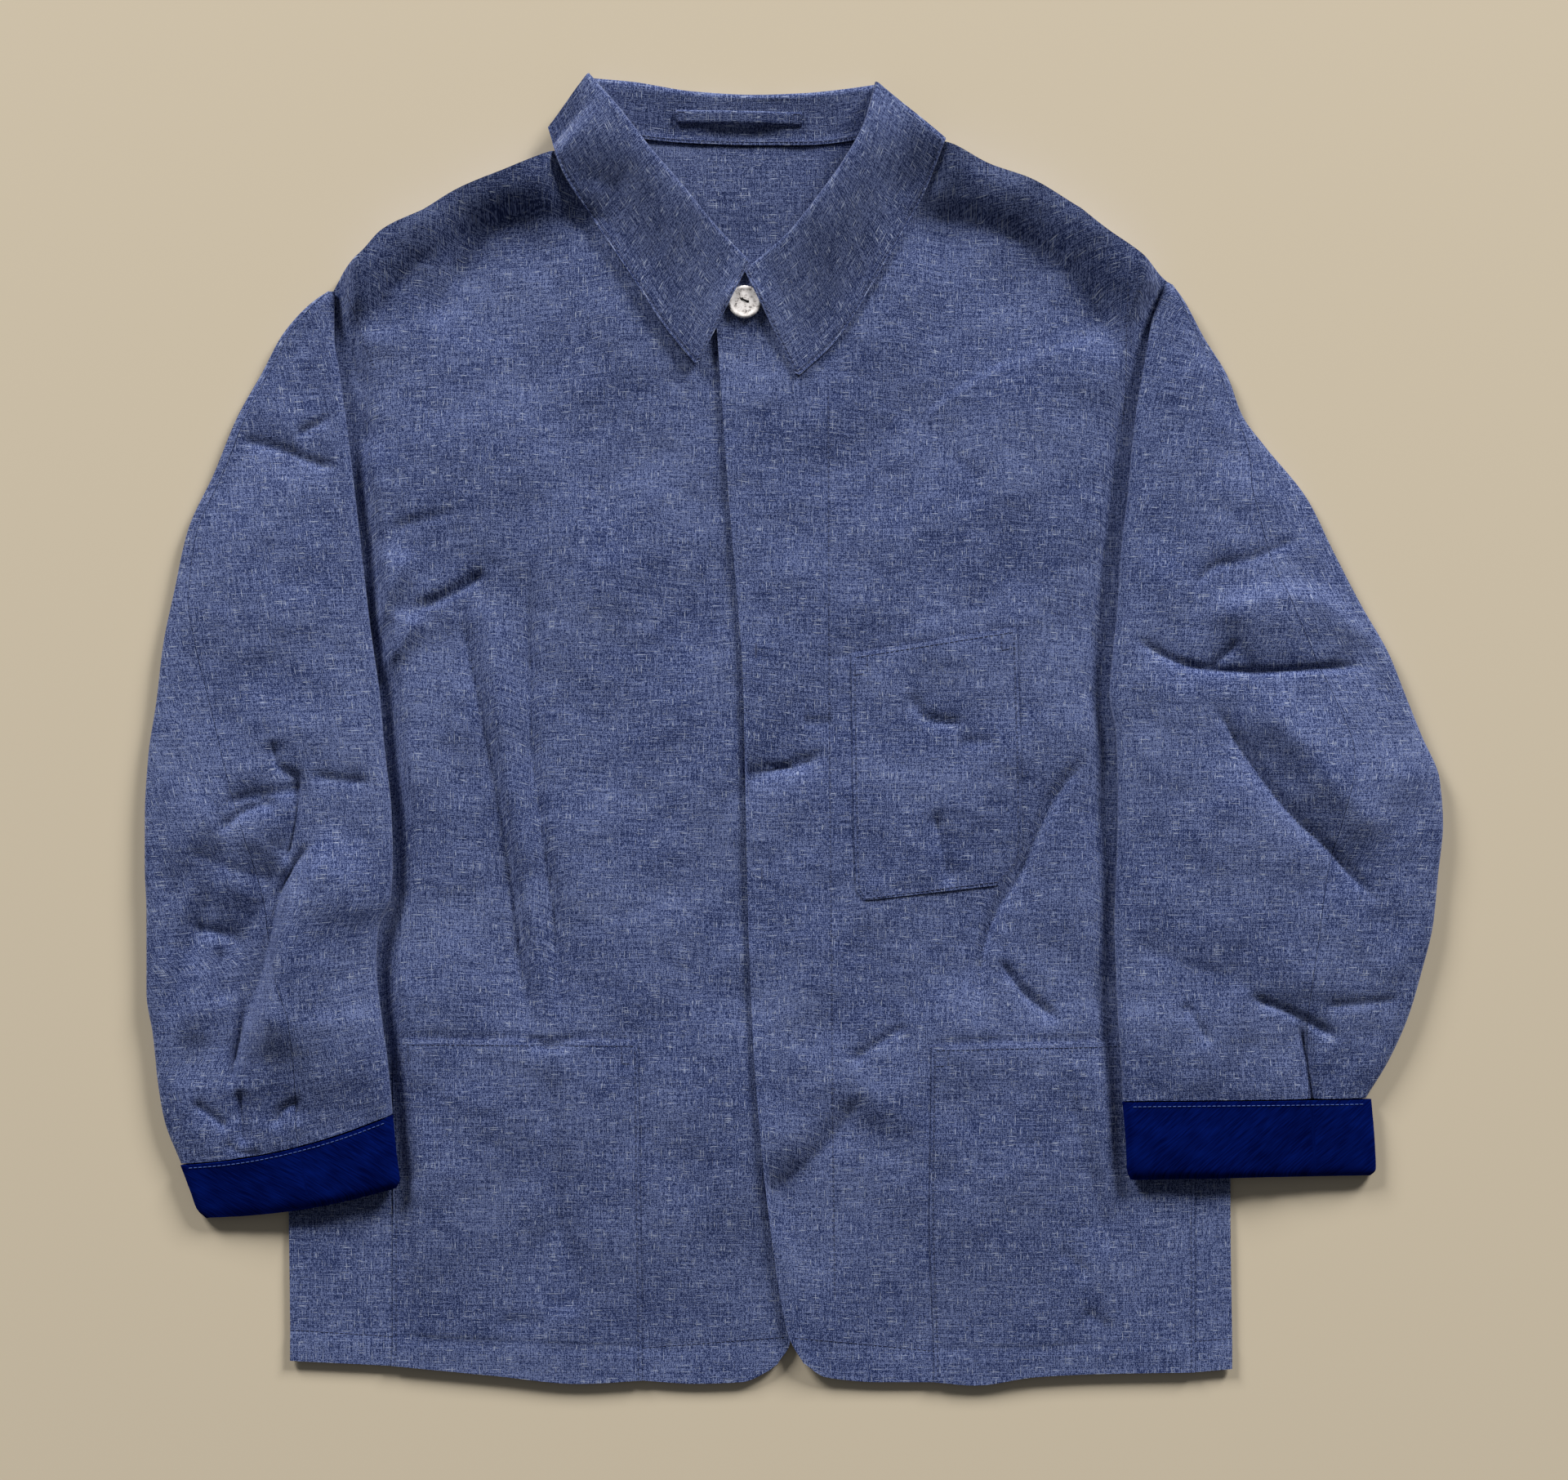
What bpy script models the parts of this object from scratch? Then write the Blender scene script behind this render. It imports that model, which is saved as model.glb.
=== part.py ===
"""Linen work jacket, laid flat on its back with the sleeves folded down over the sides.

Sizes are in millimetres. X runs across the jacket, Y from hem to collar and Z up from the surface
that it lies on. Right and left are the wearer's, so the right sleeve has negative X.
"""
from math import cos, pi, sin

import bmesh
import bpy
import numpy as np

MM = 0.001

# Walls and gaps
CLOTH = 1.2
DOUBLE = 1.6
CUFF_WALL = 1.8
SEAM = 0.3
CLEAR = 0.9

# Body
LOFT = 3.2
LOFT_START = 4.0
LOFT_RUN = 70.0
HEM_Y = -400.0
HEM_RUN = 45.0
SHOULDER_RUN = 55.0
LAP_CLEAR = 0.6
LAP_START = 6.0
LAP_RUN = 45.0

# Collar
COLLAR_LIFT = 2.0
NECK_X = -28.0
NECK_REACH = 128.0
NECK_FADE = 45.0
NECK_Y = 292.0
NECK_RUN = 36.0
STAND_RISE = 2.3

# Sleeves
SIDE_STEP = 9.0
SIDE_RUN = 26.0
FOLD_REACH = 3.5
UNDER_SEAM = 11.0
POCKET_STEP = 1.5
POCKET_NEAR = 10.0
POCKET_RUN = 16.0

# Button
BUTTON_AT = (-30.0, 262.5)
BUTTON_R = 10.0
BUTTON_THICK = 2.6
BUTTON_RIM = 0.5
BUTTON_HOLE_R = 0.9
BUTTON_HOLES = ((-1.5, 1.6), (1.9, 0.1))
BUTTON_CLEAR = 0.5
BUTTON_SEGMENTS = 28

# Front panels: one row per section from hem to shoulder, with the point where it meets each line.
FRONT_RIGHT_LINES = ("side", "outer", "inner", "edge")
FRONT_RIGHT_ROWS = (
    # name         side           outer            inner            edge            steps up
    ("hem", (-308, -385), (-246, -388), (-93, -397), (-10, -387), 1),
    ("hem line", (-308, -366), (-245, -370), (-93, -377), (-2, -370), 3),
    ("pocket", (-309, -280), (-245, -280), (-94, -280), (-5, -280), 3),
    ("pocket top", (-310, -189), (-245, -188), (-95, -189), (-8, -188), 4),
    ("waist", (-309, -80), (-243, -80), (-98, -80), (-12, -80), 4),
    ("underarm", (-309, 36), (-238, 34), (-100, 30), (-16, 30), 1),
    ("arm low", (-274, 64), (-225, 64), (-102, 64), (-17, 62), 3),
    ("arm mid", (-283, 154), (-220, 152), (-108, 150), (-20, 150), 3),
    ("arm high", (-289, 236), (-218, 240), (-112, 232), (-24, 230), 4),
    ("top", (-282, 268), (-225, 317), (-116, 362), (-28, 276), 0),
)
FRONT_RIGHT_BENDS = {
    ("hem", "outer"): ((-184, -394), (-131, -399)),
    ("hem", "inner"): ((-60, -399), (-32, -398), (-17, -392)),
    ("top", "side"): ((-275, 280), (-262, 292), (-250, 305)),
    ("top", "outer"): ((-204, 330), (-174, 342), (-146, 353)),
    ("top", "inner"): ((-98, 328), (-68, 297)),
}
FRONT_RIGHT_STEPS = (4, 7, 5)

FRONT_LEFT_LINES = ("edge", "inner", "outer", "side")
FRONT_LEFT_ROWS = (
    # name         edge           inner            outer            side            steps up
    ("hem", (6, -386), (86, -398), (245, -392), (268, -390), 1),
    ("hem line", (-3, -370), (86, -379), (245, -373), (268, -371), 3),
    ("pocket", (-16, -290), (83, -290), (245, -290), (267, -290), 3),
    ("pocket top", (-25, -186), (84, -192), (245, -189), (267, -189), 3),
    ("chest foot", (-28, -106), (40, -102), (139, -92), (268, -95), 3),
    ("underarm", (-31, 33), (35, 35), (137, 44), (267, 44), 1),
    ("chest top", (-32, 50), (35, 47), (136, 63), (206, 72), 3),
    ("arm mid", (-40, 147), (38, 152), (140, 156), (215, 154), 3),
    ("arm high", (-46, 232), (44, 240), (140, 245), (227, 238), 4),
    ("top", (-49, 274), (59, 363), (174, 318), (229, 274), 0),
)
FRONT_LEFT_BENDS = {
    ("hem", "edge"): ((20, -395), (52, -398)),
    ("hem", "inner"): ((111, -400), (147, -395), (185, -393)),
    ("top", "edge"): ((-18, 285), (22, 312), (46, 340)),
    ("top", "inner"): ((92, 358), (119, 345), (144, 336)),
    ("top", "outer"): ((189, 306), (209, 292)),
}
FRONT_LEFT_STEPS = (5, 7, 5)

# Back panel: its right side, the middle line and its left side.
BACK_LINES = ("right", "middle", "left")
BACK_ROWS = (
    ("hem", (-306, -383), (-1, -364), (266, -388), 3),
    ("pocket", (-308, -230), (-10, -230), (266, -230), 3),
    ("waist", (-308, -80), (-14, -80), (266, -80), 3),
    ("underarm", (-308, 36), (-16, 36), (266, 44), 1),
    ("arm low", (-273, 64), (-18, 64), (205, 72), 2),
    ("arm mid", (-282, 154), (-22, 154), (214, 154), 2),
    ("arm high", (-288, 236), (-26, 248), (226, 238), 3),
    ("top", (-281, 267), (-25, 357), (228, 273), 0),
)
BACK_BENDS = {
    ("hem", "right"): ((-200, -383), (-90, -380)),
    ("hem", "middle"): ((80, -383), (170, -387)),
    ("top", "right"): ((-261, 291), (-225, 316), (-174, 341), (-116, 361), (-92, 361), (-60, 358)),
    ("top", "middle"): ((6, 357), (38, 360), (59, 362), (119, 344), (174, 317), (209, 291)),
}
BACK_STEPS = (9, 9)

# Sleeves: inner edge, outer edge, bow towards the cuff, hind seam as a share of the width,
# height of the inner fold, height of the outer fold, puff between them.
SLEEVE_RIGHT = (
    ((-281, 261), (-294, 262), 0, 0.80, 3.0, 3.0, 0.0),
    ((-281, 242), (-311, 243), 0, 0.86, 3.6, 3.2, 0.6),
    ((-278, 220), (-325, 218), 0, 0.90, 4.2, 3.4, 1.2),
    ((-274, 192), (-340, 191), 0, 0.92, 4.8, 3.6, 2.0),
    ((-270, 160), (-354, 157), 0, 0.93, 5.2, 3.8, 3.0),
    ((-266, 125), (-370, 122), 0, 0.94, 5.5, 4.0, 4.0),
    ((-262, 90), (-378, 86), 0, 0.92, 5.8, 4.2, 4.6),
    ((-258, 57), (-385, 52), 0, 0.84, 6.0, 4.4, 5.0),
    ((-253, 22), (-389, 18), 0, 0.76, 6.2, 4.6, 5.4),
    ((-250, -12), (-394, -16), 0, 0.68, 6.6, 4.8, 5.8),
    ((-246, -47), (-396, -52), 0, 0.62, 7.2, 5.0, 6.0),
    ((-245, -77), (-396, -83), 0, 0.56, 7.6, 5.2, 6.0),
    ((-246, -100), (-395, -110), 0, 0.52, 7.6, 5.2, 6.0),
    ((-254, -122), (-395, -135), 0, 0.47, 7.2, 5.0, 6.0),
    ((-255, -145), (-395, -160), 1, 0.42, 7.2, 5.0, 5.6),
    ((-252, -172), (-391, -186), 2, 0.39, 7.6, 5.0, 5.0),
    ((-248, -200), (-388, -215), 4, 0.40, 7.8, 4.8, 4.0),
    ((-246, -220), (-384, -238), 5, 0.42, 7.6, 4.4, 2.6),
    ((-245, -233), (-374, -264), 6, 0.45, 7.0, 4.0, 1.6),
)
SLEEVE_LEFT = (
    ((226, 271), (238, 262), 0, 0.80, 3.0, 3.0, 0.0),
    ((219, 250), (250, 240), 0, 0.86, 3.6, 3.2, 0.6),
    ((215, 227), (264, 218), 0, 0.90, 4.2, 3.4, 1.2),
    ((210, 199), (274, 192), 0, 0.93, 4.8, 3.6, 2.0),
    ((207, 175), (288, 173), 0, 0.86, 5.2, 3.8, 3.0),
    ((204, 142), (313, 142), 0, 0.70, 5.6, 4.0, 4.2),
    ((200, 110), (329, 110), 0, 0.69, 6.0, 4.2, 5.2),
    ((198, 77), (346, 77), 0, 0.71, 6.2, 4.6, 6.2),
    ((195, 47), (363, 47), 0, 0.72, 6.4, 5.0, 7.0),
    ((193, 22), (373, 22), 0, 0.75, 6.4, 5.2, 7.6),
    ((197, -2), (383, -3), 0, 0.76, 6.4, 5.4, 8.0),
    ((198, -30), (394, -30), 0, 0.72, 6.4, 5.6, 8.2),
    ((198, -57), (396, -57), 0, 0.68, 6.4, 5.6, 8.0),
    ((197, -87), (393, -88), 0, 0.65, 6.4, 5.4, 7.6),
    ((196, -117), (390, -118), 0, 0.64, 6.4, 5.2, 7.0),
    ((197, -147), (383, -147), 0, 0.64, 6.6, 5.0, 6.4),
    ((198, -175), (375, -174), 0, 0.65, 6.8, 4.8, 5.4),
    ((200, -202), (363, -201), 0, 0.70, 6.8, 4.4, 3.8),
    ((201, -225), (349, -224), 0, 0.76, 6.4, 4.0, 2.0),
)
CUFF_RIGHT = (
    ((-245, -234), (-374, -265), 6, 0.45, 7.4, 4.4, 1.4),
    ((-243, -256), (-368, -281), 5, 0.45, 7.0, 4.2, 1.2),
    ((-241, -278), (-362, -297), 4, 0.45, 6.6, 4.0, 1.0),
)
CUFF_LEFT = (
    ((201, -226), (352, -225), 0, 0.76, 6.8, 4.2, 1.6),
    ((203, -249), (354, -248), 0, 0.76, 6.4, 4.2, 1.4),
    ((204, -273), (355, -271), 0, 0.76, 6.0, 4.0, 1.2),
)
FLAP_STEPS = 2
TURN_STEPS = 4
UPPER_POINTS = 8
REST_POINTS = 5
LOW_STEPS = (2, 2, 2)

# Largest folds: start, end, rise, half width.
BODY_FOLDS = (
    ((-203, 80), (-158, -187), -2.2, 18),
    ((-181, 97), (-150, -177), 2.0, 18),
    ((-158, 107), (-143, -167), -1.8, 16),
    ((-146, -252), (-134, -350), -1.5, 16),
    ((146, -66), (111, -182), -2.0, 18),
    ((165, -217), (190, -314), -1.6, 16),
    ((-183, 316), (-221, 255), -1.6, 20),
    ((134, 332), (194, 262), -1.6, 22),
)
SLEEVE_RIGHT_FOLDS = (
    ((-288, -70), (-345, -202), -4.0, 16),
    ((-266, -72), (-321, -202), 2.2, 20),
    ((-316, -9), (-306, -52), -2.6, 14),
    ((-336, 175), (-274, 160), -1.4, 14),
)
SLEEVE_LEFT_FOLDS = (
    ((230, 43), (334, 40), -3.6, 15),
    ((273, 75), (350, 62), 2.6, 18),
    ((260, 13), (354, -93), -3.6, 16),
    ((294, 17), (374, -72), 2.6, 20),
    ((281, -167), (325, -183), -2.4, 13),
)

# Collar falls: roll edge, outer edge and width of the stand under the roll, from back to front.
FALL_RIGHT = (
    ((-125, 400), (-150, 368), 12),
    ((-106, 378), (-141, 341), 22),
    ((-86, 352), (-122, 311), 24),
    ((-67, 330), (-101, 280), 20),
    ((-47, 306), (-78, 245), 13),
    ((-29, 286), (-59, 222), 7),
)
FALL_LEFT = (
    ((50, 395), (92, 359), 12),
    ((43, 370), (81, 331), 22),
    ((31, 347), (65, 301), 24),
    ((16, 326), (45, 267), 20),
    ((-2, 304), (27, 239), 13),
    ((-25, 282), (4, 215), 7),
)
# Back of the collar: neck seam, roll edge and outer edge of the fall that lies underneath.
COLLAR_BACK = (
    ((-106, 368), (-122, 398), (-145, 371)),
    ((-92, 362), (-99, 396), (-112, 352)),
    ((-60, 359), (-61, 390), (-66, 340)),
    ((-25, 358), (-25, 388), (-27, 336)),
    ((6, 358), (6, 389), (12, 339)),
    ((36, 361), (35, 392), (50, 348)),
    ((50, 366), (49, 394), (86, 361)),
)
ROLL_STEPS = 4
FALL_ROWS = 11
FALL_POINTS = 8
STAND_POINTS = 3
BACK_ROWS_COUNT = 13
BACK_POINTS = 4
BUTTON_NEAR = 4.0
BUTTON_RUN = 26.0

# Hanger loop on the inside of the collar's back: left end, right end, height, wall.
LOOP_ENDS = ((-72.0, 375.0), (5.0, 373.5))
LOOP_WIDTH = 8.0
LOOP_ARCH = 1.2
LOOP_STEPS = 10

MATERIALS = {
    "linen": ((0.075, 0.098, 0.205, 1.0), 0.9),
    "indigo_twill": ((0.002, 0.005, 0.075, 1.0), 0.85),
    "mottled_button": ((0.68, 0.62, 0.6, 1.0), 0.35),
}


def ramp(value, start, run):
    """Rise smoothly from 0 at start to 1 at start + run."""
    t = np.clip((np.asarray(value, float) - start) / run, 0.0, 1.0)
    return t * t * (3.0 - 2.0 * t)


def through(marks, values, at):
    """Curve through the values at the marks that never overshoots them."""
    marks = np.asarray(marks, float)
    values = np.asarray(values, float)
    gaps = np.diff(marks).reshape((-1,) + (1,) * (values.ndim - 1))
    slopes = np.diff(values, axis=0) / gaps
    tangents = np.empty_like(values)
    tangents[0], tangents[-1] = slopes[0], slopes[-1]
    before, after = slopes[:-1], slopes[1:]
    same = before * after > 0
    total = np.where(same, before + after, 1.0)
    tangents[1:-1] = np.where(same, 2.0 * before * after / total, 0.0)
    at = np.clip(np.asarray(at, float), marks[0], marks[-1])
    cell = np.clip(np.searchsorted(marks, at, side="right") - 1, 0, len(marks) - 2)
    gap = gaps[cell]
    t = ((at - marks[cell]) / (marks[cell + 1] - marks[cell])).reshape(gap.shape)
    return (
        values[cell] * (2 * t**3 - 3 * t**2 + 1)
        + tangents[cell] * gap * (t**3 - 2 * t**2 + t)
        + values[cell + 1] * (3 * t**2 - 2 * t**3)
        + tangents[cell + 1] * gap * (t**3 - t**2)
    )


def along(points, steps):
    """Points at even spacing along a smooth line."""
    points = np.asarray(points, float)
    lengths = np.linalg.norm(np.diff(points, axis=0), axis=1)
    marks = np.concatenate(([0.0], np.cumsum(lengths)))
    return through(marks, points, np.linspace(0.0, marks[-1], steps + 1))


def panel_plan(rows, lines, bends, steps):
    """Plan of a panel lofted through its sections, and the index of each named section and line."""
    sections = []
    for name, *points, _ in rows:
        section = [points[0]]
        for i, line in enumerate(lines[:-1]):
            bend = bends.get((name, line), ())
            section.extend(along((points[i], *bend, points[i + 1]), steps[i])[1:])
        sections.append(section)
    row_index, marks = {}, []
    for k, (name, *_, up) in enumerate(rows):
        row_index[name] = len(marks)
        marks.extend(k + step / up for step in range(up))
    marks.append(len(rows) - 1)
    line_index = dict(zip(lines, np.concatenate(([0], np.cumsum(steps)))))
    plan = through(np.arange(len(rows)), np.array(sections, float), np.array(marks))
    return plan, row_index, line_index


def edge_curve(rows, column):
    """X and Y of one named line of a panel, sorted by Y."""
    points = np.array(sorted((row[column] for row in rows), key=lambda p: p[1]), float)
    return points[:, 1], points[:, 0]


def folds_at(x, y, folds):
    """Sum of soft ridges and troughs at a place in the plan."""
    total = np.zeros_like(x)
    for start, end, rise, width in folds:
        start, end = np.array(start, float), np.array(end, float)
        length = np.linalg.norm(end - start)
        run = (end - start) / length
        s = ((x - start[0]) * run[0] + (y - start[1]) * run[1]) / length
        d = (x - start[0]) * run[1] - (y - start[1]) * run[0]
        fade = ramp(s, -0.15, 0.4) * ramp(1.0 - s, -0.15, 0.4)
        total = total + rise * fade * np.exp(-((d / width) ** 2))
    return total


RIGHT_INNER = edge_curve(SLEEVE_RIGHT + CUFF_RIGHT, 0)
LEFT_INNER = edge_curve(SLEEVE_LEFT + CUFF_LEFT, 0)
RIGHT_SIDE = edge_curve(FRONT_RIGHT_ROWS, 1)
LEFT_SIDE = edge_curve(FRONT_LEFT_ROWS, 4)
RIGHT_EDGE = edge_curve(FRONT_RIGHT_ROWS, 4)
SHOULDER = ((-282, 268), (-225, 317), (-116, 360), (59, 360), (174, 318), (229, 274))


def back_foot(x, y):
    """Underside of the back panel, lifted at the neck by the collar under it."""
    near = 1.0 - ramp(np.abs(x - NECK_X), NECK_REACH, NECK_FADE)
    return COLLAR_LIFT * near * ramp(y, NECK_Y, NECK_RUN)


def front_foot(x, y):
    """Underside of the front panels: flat under the sleeves, lofted and folded where they show."""
    inside = np.minimum(x - np.interp(y, *RIGHT_INNER), np.interp(y, *LEFT_INNER) - x)
    shoulder_x, shoulder_y = zip(*SHOULDER)
    below = np.interp(x, shoulder_x, shoulder_y) - y
    free = ramp(inside, LOFT_START, LOFT_RUN) * ramp(below, 0.0, SHOULDER_RUN) * ramp(y, HEM_Y, HEM_RUN)
    air = np.maximum((LOFT + folds_at(x, y, BODY_FOLDS)) * free, 0.0)
    return back_foot(x, y) + CLOTH + SEAM + air


def lap_foot(x, y):
    """Underside of the left front, which laps over the edge of the right front."""
    past = x - np.interp(y, *RIGHT_EDGE)
    return front_foot(x, y) + (CLOTH + LAP_CLEAR) * (1.0 - ramp(past, LAP_START, LAP_RUN))


def wall(top, foot):
    """Closed sheet between two grids of points of the same shape."""
    rows, columns = top.shape[:2]
    points = np.concatenate((top.reshape(-1, 3), foot.reshape(-1, 3)))
    under = rows * columns
    faces = []

    def at(i, j):
        return i * columns + j

    for i in range(rows - 1):
        for j in range(columns - 1):
            quad = (at(i, j), at(i, j + 1), at(i + 1, j + 1), at(i + 1, j))
            faces.append(quad)
            faces.append(tuple(k + under for k in reversed(quad)))
    rim = [at(0, j) for j in range(columns)]
    rim += [at(i, columns - 1) for i in range(1, rows)]
    rim += [at(rows - 1, j) for j in range(columns - 2, -1, -1)]
    rim += [at(i, 0) for i in range(rows - 2, 0, -1)]
    for a, b in zip(rim, rim[1:] + rim[:1]):
        faces.append((b, a, a + under, b + under))
    return points, faces


def band(outside, inside):
    """Closed ring between two grids whose last column joins their first."""
    rows, columns = outside.shape[:2]
    points = np.concatenate((outside.reshape(-1, 3), inside.reshape(-1, 3)))
    under = rows * columns
    faces = []
    for j in range(columns):
        k = (j + 1) % columns
        for i in range(rows - 1):
            quad = (i * columns + j, i * columns + k, (i + 1) * columns + k, (i + 1) * columns + j)
            faces.append(quad)
            faces.append(tuple(p + under for p in reversed(quad)))
        last = (rows - 1) * columns
        faces.append((k, j, j + under, k + under))
        faces.append((last + j, last + k, last + k + under, last + j + under))
    return points, faces


def thickened(middle, thick, closed=False):
    """Grids on both sides of a middle surface, half the wall away along its normals."""
    if closed:
        padded = np.concatenate((middle[:, -1:], middle, middle[:, :1]), axis=1)
        across = (padded[:, 2:] - padded[:, :-2]) / 2.0
    else:
        across = np.gradient(middle, axis=1)
    normal = np.cross(across, np.gradient(middle, axis=0))
    normal /= np.linalg.norm(normal, axis=2, keepdims=True)
    return middle + normal * thick / 2.0, middle - normal * thick / 2.0


def make(name, points, faces, material):
    """Named object from points in millimetres, with triangles that face outwards."""
    mesh = bpy.data.meshes.new(name)
    mesh.from_pydata((np.asarray(points) * MM).tolist(), [], faces)
    shape = bmesh.new()
    shape.from_mesh(mesh)
    bmesh.ops.triangulate(shape, faces=shape.faces)
    bmesh.ops.recalc_face_normals(shape, faces=shape.faces)
    shape.to_mesh(mesh)
    shape.free()
    mesh.materials.append(material)
    piece = bpy.data.objects.new(name, mesh)
    bpy.context.scene.collection.objects.link(piece)
    return piece


def raised(plan, foot, thick):
    """Top and underside grids of a sheet that lies on a height."""
    x, y = plan[..., 0], plan[..., 1]
    z = foot(x, y)
    under = np.stack((x, y, z), axis=-1)
    return under + np.array((0.0, 0.0, thick)), under


def patch(name, top, rows, columns, cuts, material):
    """Pocket made from a panel's own points, moved out; cuts names the corners that are cut off."""
    grid = top[rows[0]: rows[1] + 1, columns[0]: columns[1] + 1].copy()
    for (i, j), (di, dj), share in cuts:
        grid[i, j] = grid[i, j] + share * (grid[i + di, j] + grid[i, j + dj] - 2.0 * grid[i, j]) / 2.0
    under = grid + np.array((0.0, 0.0, SEAM))
    return make(name, *wall(under + np.array((0.0, 0.0, CLOTH)), under), material)


def cover(x, y, pockets):
    """Height that clears the body under a sleeve."""
    step = np.zeros_like(x)
    for west, east, top in pockets:
        over = ramp(x, west - POCKET_NEAR - POCKET_RUN, POCKET_RUN)
        over = over * (1.0 - ramp(x, east + POCKET_NEAR, POCKET_RUN))
        step = np.maximum(step, POCKET_STEP * over * (1.0 - ramp(y, top + POCKET_NEAR, POCKET_RUN)))
    return front_foot(x, y) + CLOTH + CLEAR + step


def sleeve_ring(section, side, pockets, folds, thick):
    """One flattened ring of a sleeve: lower seam, inner fold, top, outer fold and back."""
    inner, outer, bow, seam, inner_high, outer_high, puff = section
    inner, outer = np.array(inner, float), np.array(outer, float)
    width = np.linalg.norm(outer - inner)
    run = (outer - inner) / width
    down = np.array((run[1], -run[0])) if run[0] > 0 else np.array((-run[1], run[0]))

    def place(f):
        f = np.asarray(f, float)
        bowed = (bow * 4.0 * f * (1.0 - f))[:, None] * down
        return inner + f[:, None] * width * run + bowed

    probe = np.linspace(0.0, 1.0, 241)
    spots = place(probe)
    beyond = (spots[:, 0] - np.interp(spots[:, 1], *side)) * np.sign(run[0]) > 0
    leave = probe[np.argmax(beyond)]

    def low(f):
        spot = place(f)
        high = cover(spot[:, 0], spot[:, 1], pockets)
        out = (np.asarray(f) - leave) * width
        return high * (1.0 - ramp(out, SIDE_STEP, SIDE_RUN)) + thick / 2.0

    reach_in = min(FOLD_REACH / width, 0.2)
    reach_out = min(0.8 * FOLD_REACH / width, 0.2)
    under = min(UNDER_SEAM / width, 0.45)
    gap = SEAM / 2.0 / width

    def high(f):
        g = np.clip((f - reach_in) / (1.0 - reach_in - reach_out), 0.0, 1.0)
        ends = np.array((reach_in, 1.0 - reach_out))
        start, end = low(ends) + np.array((inner_high, outer_high))
        spot = place(f)
        relief = folds_at(spot[:, 0], spot[:, 1], folds) * np.sqrt(4.0 * g * (1.0 - g))
        level = start + (end - start) * g**0.8 + puff * (4.0 * g * (1.0 - g)) ** 0.8 + relief
        return np.maximum(level, low(f) + thick + SEAM)

    turn = np.linspace(-pi / 2.0, pi / 2.0, TURN_STEPS + 1)[1:-1]

    def fold(edge, reach, rise):
        f = edge + reach * (1.0 - np.cos(turn)) * (1.0 if edge == 0.0 else -1.0)
        base = low(np.array((edge + (reach if edge == 0.0 else -reach),)))[0]
        return f, base + rise / 2.0 * (1.0 + np.sin(turn))

    def points(f, z):
        return np.column_stack((place(f), z))

    flap = np.linspace(under - gap, reach_in, FLAP_STEPS + 1)
    upper = np.linspace(reach_in, seam - gap, UPPER_POINTS)
    rest = np.linspace(seam + gap, 1.0 - reach_out, REST_POINTS)
    floor = min(leave + (SIDE_STEP + SIDE_RUN) / width, 0.86)
    edge = min(leave + SIDE_STEP / width, 0.62)
    floor, edge = max(floor, edge + 0.08), max(edge, under + 0.06)
    lower = np.concatenate((
        np.linspace(1.0 - reach_out, floor, LOW_STEPS[0] + 1),
        np.linspace(floor, edge, LOW_STEPS[1] + 1)[1:],
        np.linspace(edge, under + gap, LOW_STEPS[2] + 1)[1:],
    ))
    in_f, in_z = fold(0.0, reach_in, inner_high)
    out_f, out_z = fold(1.0, reach_out, outer_high)
    top_piece = np.concatenate((points(flap, low(flap)), points(in_f, in_z), points(upper, high(upper))))
    under_piece = np.concatenate((
        points(rest, high(rest)), points(out_f, out_z)[::-1], points(lower, low(lower))
    ))
    return top_piece, under_piece


def sleeve(name, sections, side, pockets, folds, flip, material):
    """The two pieces of a sleeve, split at the hind seam and the lower seam."""
    rings = [sleeve_ring(s, side, pockets, folds, CLOTH) for s in sections]
    for part, index in (("top", 0), ("under", 1)):
        middle = np.array([ring[index] for ring in rings])
        outside, inside = thickened(middle, flip * CLOTH)
        make(f"{name}_{part}", *wall(outside, inside), material)


def cuff(name, sections, side, pockets, flip, material):
    """Cuff: one closed band, flattened like the sleeve's end."""
    rings = []
    for section in sections:
        top_piece, under_piece = sleeve_ring(section, side, pockets, (), CUFF_WALL)
        rings.append(np.concatenate((top_piece[:-1], under_piece[:-1])))
    outside, inside = thickened(np.array(rings), flip * CUFF_WALL, closed=True)
    make(name, *band(outside, inside), material)


def ground(x, y):
    """Top of the fronts under the collar."""
    return lap_foot(x, y) + CLOTH


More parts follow.
